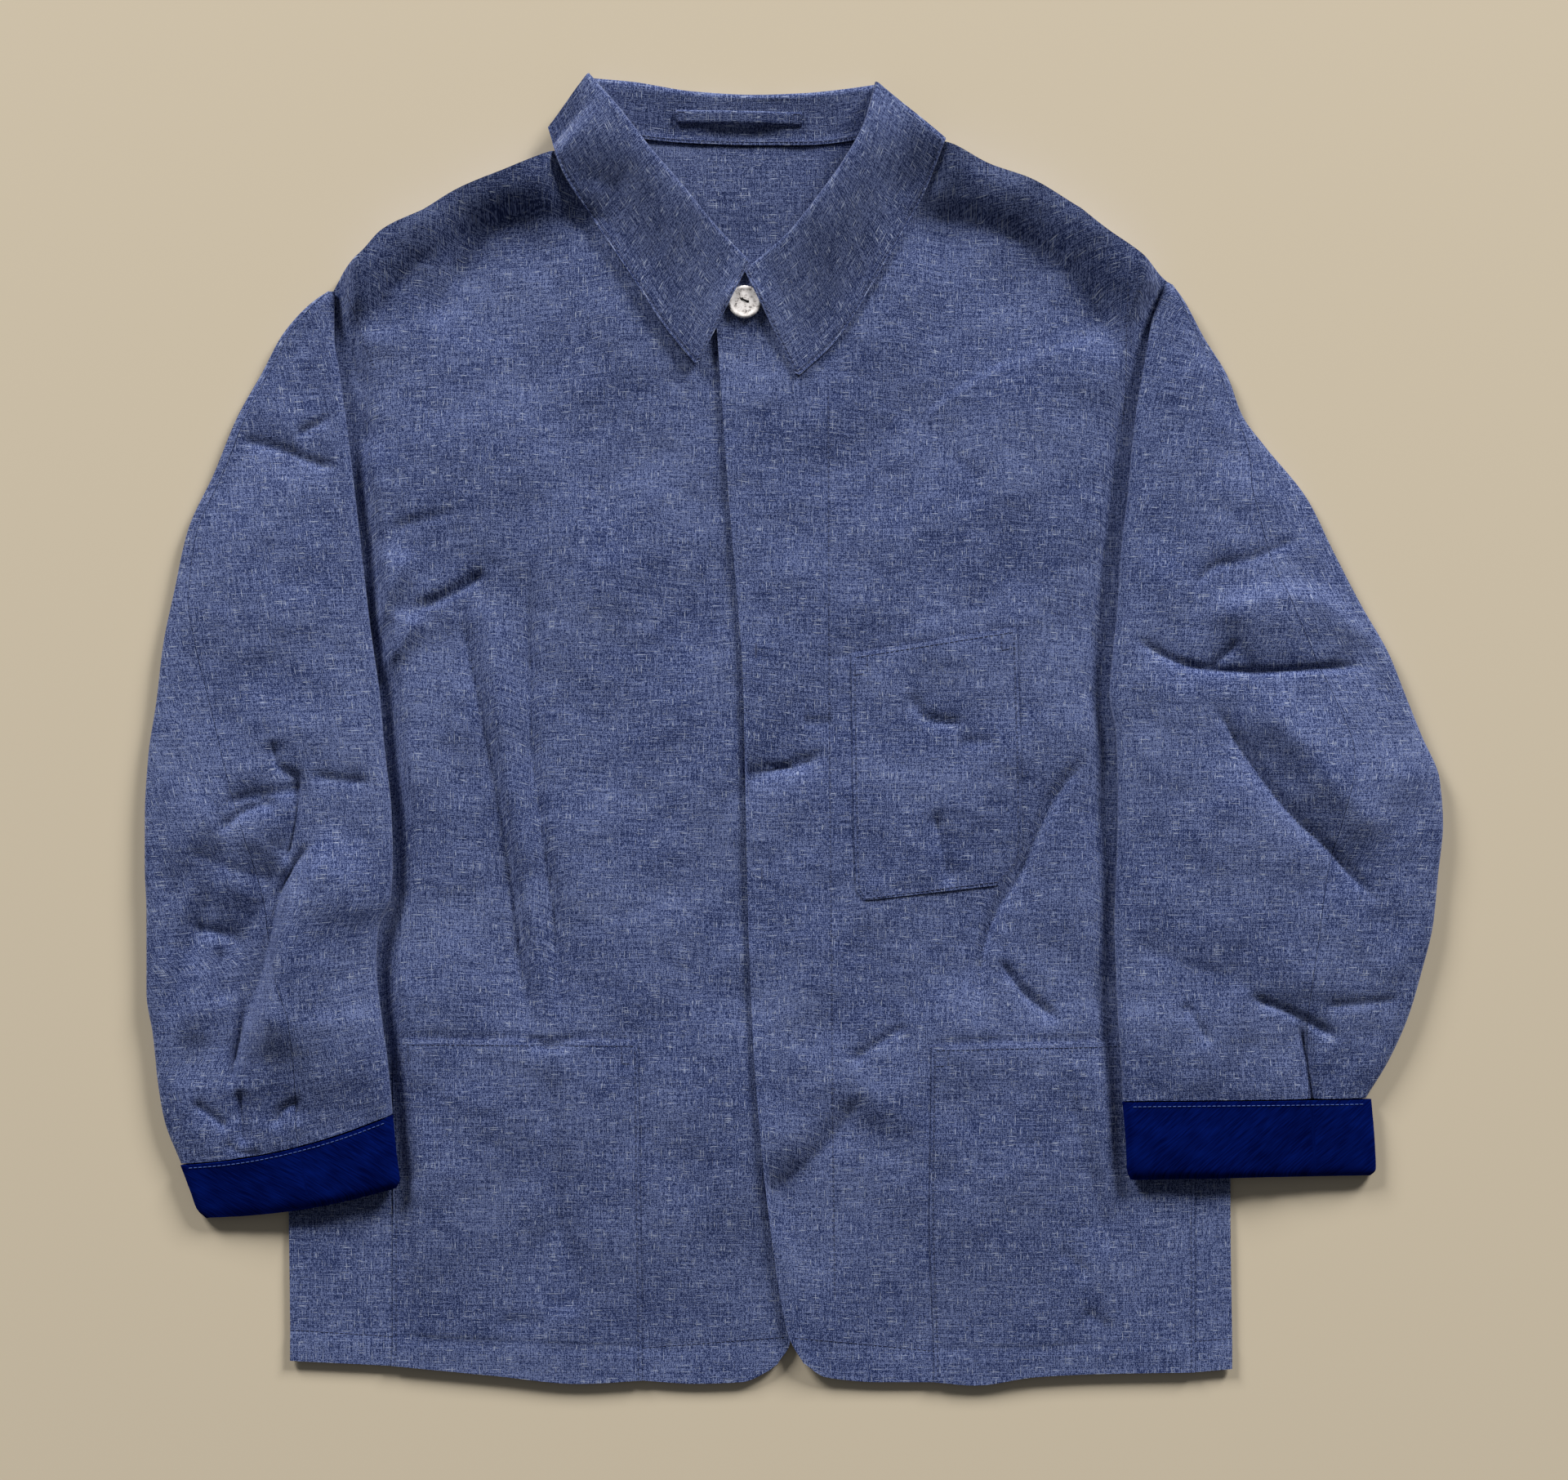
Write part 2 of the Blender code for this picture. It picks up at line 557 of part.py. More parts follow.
def fall(name, sections, flip, material):
    """Front fall of the collar with its stand folded under at the roll."""
    marks = np.arange(len(sections))
    table = np.array([(*roll, *edge, stand) for roll, edge, stand in sections], float)
    rows = through(marks, table, np.linspace(0, marks[-1], FALL_ROWS))
    rings = []
    for roll_x, roll_y, edge_x, edge_y, stand in rows:
        roll, edge = np.array((roll_x, roll_y)), np.array((edge_x, edge_y))
        width = np.linalg.norm(edge - roll)
        reach = STAND_RISE / 2.0 / width
        share = stand / width

        def rest(f):
            spot = roll + f[:, None] * (edge - roll)
            return spot, ground(spot[:, 0], spot[:, 1]) + CLEAR + DOUBLE / 2.0

        upper = np.linspace(1.0, reach, FALL_POINTS)
        spot, z = rest(upper)
        near = np.hypot(spot[:, 0] - BUTTON_AT[0], spot[:, 1] - BUTTON_AT[1])
        over_button = (BUTTON_THICK + BUTTON_CLEAR) * (1.0 - ramp(near, BUTTON_R + BUTTON_NEAR, BUTTON_RUN))
        over_stand = STAND_RISE * (1.0 - ramp(upper, share + 0.1, 0.45))
        z = z + np.maximum(over_button, over_stand)
        fall_points = np.column_stack((spot, z))
        lower = np.linspace(reach, share, STAND_POINTS)
        stand_spot, stand_z = rest(lower)
        stand_points = np.column_stack((stand_spot, stand_z))
        high, base = z[-1], stand_z[0]
        angle = np.linspace(pi / 2.0, -pi / 2.0, ROLL_STEPS + 1)[1:-1]
        turn_f = reach * (1.0 - np.cos(angle))
        turn_z = (high + base) / 2.0 + (high - base) / 2.0 * np.sin(angle)
        turn_points = np.column_stack((roll + turn_f[:, None] * (edge - roll), turn_z))
        rings.append(np.concatenate((fall_points, turn_points, stand_points)))
    outside, inside = thickened(np.array(rings), flip * DOUBLE)
    make(name, *wall(outside, inside), material)


def collar_back_rings():
    """Rings of the collar's back: stand on top, roll at the far edge, fall underneath."""
    marks = np.arange(len(COLLAR_BACK))
    table = np.array([(*neck, *roll, *edge) for neck, roll, edge in COLLAR_BACK], float)
    rings = []
    for row in through(marks, table, np.linspace(0, marks[-1], BACK_ROWS_COUNT)):
        neck, roll, edge = row[0:2], row[2:4], row[4:6]
        low = DOUBLE / 2.0
        high = COLLAR_LIFT + DOUBLE / 2.0
        radius = (high - low) / 2.0
        back = (edge - roll) / np.linalg.norm(edge - roll)
        hinge = roll + back * radius
        seam = neck + (roll - neck) / np.linalg.norm(roll - neck) * SEAM
        stand = np.linspace(seam, hinge, BACK_POINTS)
        under = np.linspace(hinge, edge, BACK_POINTS)
        angle = np.linspace(pi / 2.0, -pi / 2.0, ROLL_STEPS + 1)[1:-1]
        turn = hinge - back * radius * np.cos(angle)[:, None]
        rings.append(np.concatenate((
            np.column_stack((stand, np.full(BACK_POINTS, high))),
            np.column_stack((turn, (high + low) / 2.0 + radius * np.sin(angle))),
            np.column_stack((under, np.full(BACK_POINTS, low))),
        )))
    return np.array(rings)


def hanger_loop(material):
    """Flat loop on the collar's stand, its ends down and its middle a little proud."""
    start, end = (np.array(p) for p in LOOP_ENDS)
    shares = np.linspace(0.0, 1.0, LOOP_STEPS + 1)
    rows = []
    for side in (-0.5, 0.5):
        spot = start + shares[:, None] * (end - start) + np.array((0.0, side * LOOP_WIDTH))
        rise = LOOP_ARCH * ramp(shares, 0.12, 0.2) * ramp(1.0 - shares, 0.12, 0.2)
        rows.append(np.column_stack((spot, COLLAR_LIFT + DOUBLE + SEAM + rise)))
    foot = np.array(rows)
    return make("hanger_loop", *wall(foot + np.array((0.0, 0.0, CLOTH)), foot), material)


def button(material):
    """Round button with a raised rim and two holes, flat on the left front."""
    x, y = (np.array((v,)) for v in BUTTON_AT)
    foot = float(ground(x, y)[0]) + BUTTON_CLEAR
    dish = BUTTON_THICK - BUTTON_RIM
    profile = (
        (BUTTON_R - 0.8, 0.0),
        (BUTTON_R, 0.9),
        (BUTTON_R - 0.4, BUTTON_THICK - 0.4),
        (BUTTON_R - 1.4, BUTTON_THICK),
        (BUTTON_R - 3.0, dish),
    )
    shape = bmesh.new()
    loops = []
    for radius, z in profile:
        turn = [2.0 * pi * k / BUTTON_SEGMENTS for k in range(BUTTON_SEGMENTS)]
        loops.append([shape.verts.new((radius * cos(a), radius * sin(a), z)) for a in turn])
    for a, b in zip(loops, loops[1:]):
        for k in range(BUTTON_SEGMENTS):
            n = (k + 1) % BUTTON_SEGMENTS
            shape.faces.new((a[k], a[n], b[n], b[k]))
    shape.faces.new(list(reversed(loops[0])))
    shape.faces.new(loops[-1])
    mesh = bpy.data.meshes.new("button")
    shape.to_mesh(mesh)
    shape.free()
    piece = bpy.data.objects.new("button", mesh)
    bpy.context.scene.collection.objects.link(piece)
    drills = []
    for k, (hole_x, hole_y) in enumerate(BUTTON_HOLES):
        drill = bpy.data.meshes.new(f"drill_{k}")
        tool = bmesh.new()
        bmesh.ops.create_cone(
            tool, cap_ends=True, segments=10, radius1=BUTTON_HOLE_R, radius2=BUTTON_HOLE_R, depth=10.0
        )
        tool.to_mesh(drill)
        tool.free()
        drills.append(bpy.data.objects.new(f"drill_{k}", drill))
        drills[-1].location = (hole_x, hole_y, 0.0)
        bpy.context.scene.collection.objects.link(drills[-1])
        cut = piece.modifiers.new(f"hole_{k}", "BOOLEAN")
        cut.operation = "DIFFERENCE"
        cut.solver = "EXACT"
        cut.object = drills[-1]
    bpy.context.view_layer.update()
    drilled = piece.evaluated_get(bpy.context.evaluated_depsgraph_get()).to_mesh()
    points = [(v.co.x + BUTTON_AT[0], v.co.y + BUTTON_AT[1], v.co.z + foot) for v in drilled.vertices]
    faces = [tuple(p.vertices) for p in drilled.polygons]
    for spare in (piece, *drills):
        bpy.data.objects.remove(spare)
    return make("button", points, faces, material)


def material_named(name):
    """Plain material of one finish."""
    colour, rough = MATERIALS[name]
    material = bpy.data.materials.new(name)
    material.use_nodes = True
    shader = material.node_tree.nodes["Principled BSDF"]
    shader.inputs["Base Color"].default_value = colour
    shader.inputs["Roughness"].default_value = rough
    return material


def build():
    """All pieces of the jacket."""
    for spare in list(bpy.data.objects):
        bpy.data.objects.remove(spare)
    linen = material_named("linen")
    twill = material_named("indigo_twill")
    shell = material_named("mottled_button")

    plan, _, _ = panel_plan(BACK_ROWS, BACK_LINES, BACK_BENDS, BACK_STEPS)
    make("back", *wall(*raised(plan, back_foot, CLOTH)), linen)

    plan, rows, lines = panel_plan(
        FRONT_RIGHT_ROWS, FRONT_RIGHT_LINES, FRONT_RIGHT_BENDS, FRONT_RIGHT_STEPS
    )
    top, foot = raised(plan, front_foot, CLOTH)
    make("front_right", *wall(top, foot), linen)
    patch("pocket_right", top, (rows["hem"], rows["pocket top"]), (lines["outer"], lines["inner"]), (), linen)

    plan, rows, lines = panel_plan(
        FRONT_LEFT_ROWS, FRONT_LEFT_LINES, FRONT_LEFT_BENDS, FRONT_LEFT_STEPS
    )
    top, foot = raised(plan, lap_foot, CLOTH)
    make("front_left", *wall(top, foot), linen)
    patch("pocket_left", top, (rows["hem"], rows["pocket top"]), (lines["inner"], lines["outer"]), (), linen)
    corners = (((0, 0), (1, 1), 0.5), ((0, -1), (1, -1), 1.0))
    patch(
        "pocket_chest", top, (rows["chest foot"], rows["chest top"]), (lines["inner"], lines["outer"]),
        corners, linen,
    )

    right_pocket = ((-245, -95, -188),)
    left_pocket = ((84, 245, -189),)
    sleeve("sleeve_right", SLEEVE_RIGHT, RIGHT_SIDE, right_pocket, SLEEVE_RIGHT_FOLDS, 1, linen)
    sleeve("sleeve_left", SLEEVE_LEFT, LEFT_SIDE, left_pocket, SLEEVE_LEFT_FOLDS, -1, linen)
    cuff("cuff_right", CUFF_RIGHT, RIGHT_SIDE, right_pocket, 1, twill)
    cuff("cuff_left", CUFF_LEFT, LEFT_SIDE, left_pocket, -1, twill)

    outside, inside = thickened(collar_back_rings(), DOUBLE)
    make("collar_back", *wall(outside, inside), linen)
    fall("collar_right", FALL_RIGHT, 1, linen)
    fall("collar_left", FALL_LEFT, -1, linen)
    hanger_loop(linen)
    button(shell)


build()
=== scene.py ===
"""Looks of a linen work jacket, laid flat on its back with the sleeves folded down over the sides.

Lengths are in millimetres in the part's frame unless a name says otherwise: X runs across the jacket,
Y from hem to collar and Z up from the floor. Right and left are the wearer's, so the right sleeve has
negative X and lies at the left of the picture.
"""
from math import cos, pi, sin, sqrt

import bmesh
import bpy
import numpy as np
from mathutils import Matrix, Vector


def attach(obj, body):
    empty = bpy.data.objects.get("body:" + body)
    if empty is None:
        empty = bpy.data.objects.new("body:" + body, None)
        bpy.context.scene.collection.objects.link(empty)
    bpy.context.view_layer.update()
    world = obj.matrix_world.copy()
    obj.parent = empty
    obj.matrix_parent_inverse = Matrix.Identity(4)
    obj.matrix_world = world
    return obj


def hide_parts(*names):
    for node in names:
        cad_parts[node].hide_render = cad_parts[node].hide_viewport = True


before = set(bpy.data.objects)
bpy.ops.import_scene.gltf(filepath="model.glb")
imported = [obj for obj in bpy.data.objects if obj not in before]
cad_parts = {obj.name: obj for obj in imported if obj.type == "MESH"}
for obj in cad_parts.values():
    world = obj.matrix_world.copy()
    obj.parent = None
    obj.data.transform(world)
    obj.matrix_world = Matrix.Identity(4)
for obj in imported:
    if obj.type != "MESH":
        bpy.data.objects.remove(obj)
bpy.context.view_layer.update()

MM = 0.001

# Picture
FRAME_WIDTH = 960.0
SENSOR_WIDTH = 36.0
CAMERA_AT = (-6.0, -5.5, 2200.0)
# Lamps: name, place in metres and power in watts.
LAMPS = (
    ("left_lamp", (-5.9, 8.3, 3.9), 1165.0),
    ("right_lamp", (5.9, 8.3, 3.9), 1395.0),
)
LAMP_SIZE = (3.2, 3.2)
LAMP_COLOUR = (1.0, 0.99, 0.97)
SKY_COLOUR = (0.95, 0.97, 1.0)
SKY_STRENGTH = 0.1
# Floor: half its width and the drop that keeps it clear of the cloth, in metres.
FLOOR_HALF = 3.0
FLOOR_DROP = 0.0005
FLOOR_COLOUR = (0.66, 0.57, 0.43)

# Colours of the linen's threads, and how much darker the linen of the collar and back panel is painted, as
# painted shade
LINEN_DARK = (0.0115, 0.0225, 0.088)
LINEN_MIDDLE = (0.0455, 0.0685, 0.193)
LINEN_PALE = (0.169, 0.211, 0.392)
LINEN_SLUB = (0.34, 0.385, 0.525)
PAINTED_SHADE = 0.84

# Walls and gaps
CLOTH = 1.2
DOUBLE = 1.6
CUFF_WALL = 1.8
PATCH_CLOTH = 0.7
PATCH_GAP = 0.05
PATCH_LOFT = 0.7
PATCH_LOFT_START = 1.0
PATCH_LOFT_RUN = 22.0
PATCH_LOFT_UNDER = 0.6
PATCH_GRAIN = (17.0, 5.0)
SEAM = 0.3
HAIRLINE = 0.05
CLEAR = 0.9
MESH_STEP = 2.55
BACK_STEP = 5.0
SHARP_ANGLE = 1.2

# Body
LOFT = 8.5
LOFT_START = 1.0
LOFT_RUN = 16.0
HEM_Y = -400.0
HEM_RUN = 170.0
SHOULDER_RUN = 3.0
SHOULDER_OUT = 5.0
SHOULDER_ROW = 0.1
SHOULDER_FOLD = 9.5
SHOULDER_SLOPE = 41.0
COLLAR_REACH = 100.0
COLLAR_FADE = 24.0
COLLAR_EASE = 28.0
LEFT_BLEND = 1.5
WAVES = ((0.8, 110.0), (0.34, 42.0), (0.09, 15.0))
BODY_SEED = 3
SLEEVE_SEED = 11
LAP_CLEAR = 0.6
LAP_START = 6.0
LAP_RUN = 45.0
CREASE_START = -2.0
CREASE_RUN = 14.0
EDGE_ROLL = 1.2
EDGE_ROLL_RUN = 13.0
HEM_RISE = 0.5

# Profile of the creases
CREASE_STEPS = 14
CORE_LIMIT = 7.5
CORE_SHARE = 0.36
CORE_WIDTH = 2.5
TROUGH_POWER = 0.54
RIDGE_POWER = 0.85
CREASE_END = 0.22
CREASE_GAIN = 2.1
CREASE_REACH = 3.4
LIT_EASE = 1.2

# Sewing
EDGE_SEWING = 1.8
FRONT_SEWING_POINTS = 12
CUFF_SEWING = 2.6
CUFF_SEWN = (0.03, 0.97)
CUFF_SEWING_POINTS = 30
CORNER_BOX = 10.0
POCKET_SEWING = 2.0
LOOP_SEWING = 1.2
LOOP_INSET = 0.9
BARTACK_SIZE = {"pitch": 0.9, "length": 1.3, "width": 1.0}
# Height from which a stitch is dropped onto the cloth.
STITCH_FROM = 200.0
LOOP_STITCH_SIZE = {"pitch": 1.8, "length": 1.4, "width": 0.45}
BARTACKS = (((-23.0, 53.5), (-23.2, 45.0)), ((-19.5, -83.5), (-19.3, -89.5)))
FLY = ((21.0, 205.0), (21.5, 50.0), (23.0, -150.0), (25.0, -345.0))
RIGHT_ARMHOLE = ((-273.5, 269.5), (-268.0, 254.5), (-262.5, 238.5), (-255.0, 220.0))
LEFT_ARMHOLE = ((203.0, 270.0), (203.0, 240.0), (203.0, 207.0), (201.0, 187.0))

# Collar
COLLAR_LIFT = 2.0
NECK_X = -28.0
NECK_REACH = 128.0
NECK_FADE = 45.0
NECK_Y = 292.0
NECK_RUN = 36.0
NECK_RIDGE = 0.9
NECK_RIDGE_RUN = 5.0
BAND_TILT = 4.0
BAND_Y = 359.0
BAND_DEEP = 31.0
BAND_WAVE = 0.15
BAND_WAVE_LENGTH = 30.0
BAND_SEED = 21
FALL_CLEAR = 0.2
FALL_CLOTH = 1.2
FALL_BLEND = 0.35
GROOVE = 0.45
GROOVE_WIDTH = 0.8
ROLL_REACH = 1.7
FALL_START = 0.08
FALL_RUN = 0.85
FALL_CROWDING = 1.5
TIP_ROUND = 3.0

# Sleeves
SIDE_STEP = 9.0
SIDE_RUN = 26.0
FOLD_REACH = 3.5
FOLD_LIMIT = 0.2
OUTER_FOLD = 0.8
UNDER_SEAM = 11.0
UNDER_LIMIT = 0.45
FLOOR_LIMIT = 0.86
FLOOR_GAP = 0.08
EDGE_LIMIT = 0.62
EDGE_GAP = 0.06
PUFF_POWER = 0.8
PROBE_POINTS = 961
POCKET_STEP = 1.5
POCKET_NEAR = 10.0
POCKET_RUN = 16.0
SLEEVE_ROWS = 276
CUFF_ROWS = 22
UPPER_POINTS = 60
REST_POINTS = 46
FLAP_POINTS = 5
TURN_POINTS = 7
LOW_POINTS = (7, 6, 10)
FOLD_FADE = 16.0
FOLD_GAIN = 1.4

# Button
BUTTON_AT = (-30.0, 261.0)
BUTTON_R = 10.0
BUTTON_THICK = 2.6
BUTTON_RIM = 0.5
BUTTON_HOLE_R = 0.9
BUTTON_HOLES = ((-1.5, 1.6), (1.9, 0.1))
BUTTON_CLEAR = 0.6
BUTTON_RUN = 6.0
BUTTON_SEGMENTS = 96
BUTTON_RIBS = 32
BUTTON_RIB = 0.12
BUTTON_RIB_BAND = 1.0
BUTTON_SHARP = 0.7
DRILL_SEGMENTS = 24
DRILL_DEPTH = 10.0

# Front panels: one row per section from hem to shoulder, with the point where it meets each line.
FRONT_RIGHT_LINES = ("side", "outer", "inner", "edge")
FRONT_RIGHT_ROWS = (
    # name         side           outer            inner            edge
    ("hem", (-308, -385), (-246, -388), (-93, -397), (-10, -387)),
    ("hem line", (-308, -366), (-245, -370), (-93, -377), (-2, -370)),
    ("pocket", (-309, -280), (-245, -280), (-94, -280), (-5, -280)),
    ("pocket top", (-310, -189), (-245, -188), (-95, -189), (-8, -188)),
    ("waist", (-309, -80), (-243, -80), (-98, -80), (-12, -80)),
    ("underarm", (-309, 36), (-238, 34), (-100, 30), (-16, 30)),
    ("arm low", (-274, 64), (-225, 64), (-102, 64), (-17, 62)),
    ("arm mid", (-283, 154), (-220, 152), (-108, 150), (-20, 150)),
    ("arm high", (-289, 236), (-218, 240), (-112, 232), (-24, 230)),
    ("top", (-282, 268), (-225, 317), (-116, 362), (-28, 276)),
)
FRONT_RIGHT_BENDS = {
    ("hem", "outer"): ((-184, -394), (-131, -399)),
    ("hem", "inner"): ((-60, -399), (-32, -398), (-17, -392)),
    ("top", "side"): ((-275, 280), (-262, 292), (-250, 305)),
    ("top", "outer"): ((-204, 330), (-174, 342), (-146, 353)),
    ("top", "inner"): ((-98, 328), (-68, 297)),
}
FRONT_LEFT_LINES = ("edge", "inner", "outer", "side")
FRONT_LEFT_ROWS = (
    # name         edge           inner            outer            side
    ("hem", (6, -386), (86, -398), (245, -392), (268, -390)),
    ("hem line", (-3, -370), (86, -379), (245, -373), (268, -371)),
    ("pocket", (-16, -290), (83, -290), (245, -290), (267, -290)),
    ("pocket top", (-25, -186), (84, -192), (245, -189), (267, -189)),
    ("chest foot", (-28, -106), (40, -102), (139, -92), (268, -95)),
    ("underarm", (-31, 33), (35, 35), (137, 44), (267, 44)),
    ("chest top", (-32, 50), (35, 47), (136, 63), (206, 72)),
    ("arm mid", (-40, 147), (38, 152), (140, 156), (215, 154)),
    ("arm high", (-46, 232), (44, 240), (140, 245), (227, 238)),
    ("top", (-49, 274), (59, 363), (174, 318), (229, 274)),
)
FRONT_LEFT_BENDS = {
    ("hem", "edge"): ((20, -395), (52, -398)),
    ("hem", "inner"): ((111, -400), (147, -395), (185, -393)),
    ("top", "edge"): ((-18, 285), (22, 312), (46, 340)),
    ("top", "inner"): ((92, 358), (119, 345), (144, 336)),
    ("top", "outer"): ((189, 306), (209, 292)),
}
# Back panel: its right side, the middle line and its left side.
BACK_LINES = ("right", "middle", "left")
BACK_ROWS = (
    ("hem", (-306, -383), (-1, -364), (266, -388)),
    ("pocket", (-308, -230), (-10, -230), (266, -230)),
    ("waist", (-308, -80), (-14, -80), (266, -80)),
    ("underarm", (-308, 36), (-16, 36), (266, 44)),
    ("arm low", (-273, 64), (-18, 64), (205, 72)),
    ("arm mid", (-282, 154), (-22, 154), (214, 154)),
    ("arm high", (-288, 236), (-26, 248), (226, 238)),
    ("top", (-281, 267), (-25, 357), (228, 273)),
)
BACK_BENDS = {
    ("hem", "right"): ((-200, -383), (-90, -380)),
    ("hem", "middle"): ((80, -383), (170, -387)),
    ("top", "right"): ((-261, 291), (-225, 316), (-174, 341), (-116, 361), (-92, 361), (-60, 358)),
    ("top", "middle"): ((6, 357), (38, 360), (59, 362), (119, 344), (174, 317), (209, 291)),
}
# Shoulder line: top edges of both fronts, from the right armhole to the left one.
SHOULDER = (
    (-282, 268), (-275, 280), (-262, 292), (-250, 305), (-225, 317), (-204, 330), (-174, 342), (-146, 353),
    (-116, 362), (59, 363), (92, 358), (119, 345), (144, 336), (174, 318), (189, 306), (209, 292), (229, 274),
)
# Chest pocket: its inner and outer edges, from the foot up.
CHEST_INNER = ((43, -103), (38, -95), (35, 47))
CHEST_OUTER = ((125, -94), (139, -73), (136, 63))
CHEST_MARKS = (0.0, 0.13, 1.0)
CHEST_SHAPE = (66, 43)

# Sleeves: inner edge, outer edge, bow towards the cuff, hind seam as a share of the width,
# height of the inner fold, height of the outer fold, puff between them.
SLEEVE_RIGHT = (
    ((-281, 268), (-284, 268), 0, 0.70, 1.6, 1.6, 0.0),
    ((-281, 261), (-294, 261), 0, 0.80, 3.0, 3.0, 0.0),
    ((-281, 242), (-311, 243), 0, 0.86, 3.6, 3.2, 0.6),
    ((-278, 220), (-325, 218), 0, 0.90, 4.2, 3.4, 1.2),
    ((-274, 192), (-340, 191), 0, 0.92, 4.8, 3.6, 2.0),
    ((-270, 160), (-354, 157), 0, 0.93, 5.2, 3.8, 3.0),
    ((-266, 125), (-370, 122), 0, 0.94, 5.5, 4.0, 4.0),
    ((-262, 90), (-378, 86), 0, 0.92, 5.8, 4.2, 4.6),
    ((-258, 57), (-385, 52), 0, 0.84, 6.0, 4.4, 5.0),
    ((-253, 22), (-389, 18), 0, 0.76, 6.2, 4.6, 5.4),
    ((-250, -12), (-394, -16), 0, 0.68, 6.6, 4.8, 5.8),
    ((-246, -47), (-396, -52), 0, 0.62, 7.2, 5.0, 6.0),
    ((-245, -77), (-396, -83), 0, 0.56, 7.6, 5.2, 6.0),
    ((-246, -100), (-395, -110), 0, 0.52, 7.6, 5.2, 6.0),
    ((-254, -122), (-395, -135), 0, 0.47, 7.2, 5.0, 6.0),
    ((-255, -145), (-395, -160), 1, 0.42, 7.2, 5.0, 5.6),
    ((-252, -172), (-391, -186), 2, 0.39, 7.6, 5.0, 5.0),
    ((-248, -200), (-388, -215), 4, 0.40, 7.8, 4.8, 4.0),
    ((-246, -220), (-384, -238), 5, 0.42, 7.6, 4.4, 2.6),
    ((-245, -233), (-374, -264), 6, 0.45, 7.0, 4.0, 1.6),
)
SLEEVE_LEFT = (
    ((228, 274), (231, 272), 0, 0.70, 1.6, 1.6, 0.0),
    ((226, 269), (238, 262), 0, 0.80, 3.0, 3.0, 0.0),
    ((219, 250), (250, 240), 0, 0.86, 3.6, 3.2, 0.6),
    ((215, 227), (264, 218), 0, 0.90, 4.2, 3.4, 1.2),
    ((210, 199), (274, 192), 0, 0.93, 4.8, 3.6, 2.0),
    ((207, 175), (288, 173), 0, 0.86, 5.2, 3.8, 3.0),
    ((204, 142), (313, 142), 0, 0.70, 5.6, 4.0, 4.2),
    ((200, 110), (329, 110), 0, 0.69, 6.0, 4.2, 5.2),
    ((198, 77), (346, 77), 0, 0.71, 6.2, 4.6, 6.2),
    ((195, 47), (363, 47), 0, 0.72, 6.4, 5.0, 7.0),
    ((193, 22), (373, 22), 0, 0.75, 6.4, 5.2, 7.6),
    ((197, -2), (383, -3), 0, 0.76, 6.4, 5.4, 8.0),
    ((198, -30), (394, -30), 0, 0.72, 6.4, 5.6, 8.2),
    ((198, -57), (396, -57), 0, 0.68, 6.4, 5.6, 8.0),
    ((197, -87), (393, -88), 0, 0.65, 6.4, 5.4, 7.6),
    ((196, -117), (390, -118), 0, 0.64, 6.4, 5.2, 7.0),
    ((197, -147), (383, -147), 0, 0.64, 6.6, 5.0, 6.4),
    ((198, -175), (375, -174), 0, 0.65, 6.8, 4.8, 5.4),
    ((200, -202), (363, -201), 0, 0.70, 6.8, 4.4, 3.8),
    ((201, -225), (349, -224), 0, 0.76, 6.4, 4.0, 2.0),
)
CUFF_RIGHT = (
    ((-245, -234), (-374, -265), 6, 0.45, 7.4, 4.4, 1.4),
    ((-243, -256), (-368, -281), 5, 0.45, 7.0, 4.2, 1.2),
    ((-241, -273), (-364, -292), 4, 0.45, 5.6, 3.4, 1.0),
    ((-243, -278), (-359, -297), 4, 0.45, 3.6, 2.6, 0.8),
)
CUFF_LEFT = (
    ((201, -226), (352, -225), 0, 0.76, 6.8, 4.2, 1.6),
    ((203, -249), (354, -248), 0, 0.76, 6.4, 4.2, 1.4),
    ((204, -268), (355, -267), 0, 0.76, 5.2, 3.4, 1.2),
    ((206, -273), (352, -271), 0, 0.76, 3.4, 2.6, 0.8),
)
# Lower pockets under the sleeves: west side, east side and top.
RIGHT_POCKET = (-245, -95, -188)
LEFT_POCKET = (84, 245, -189)

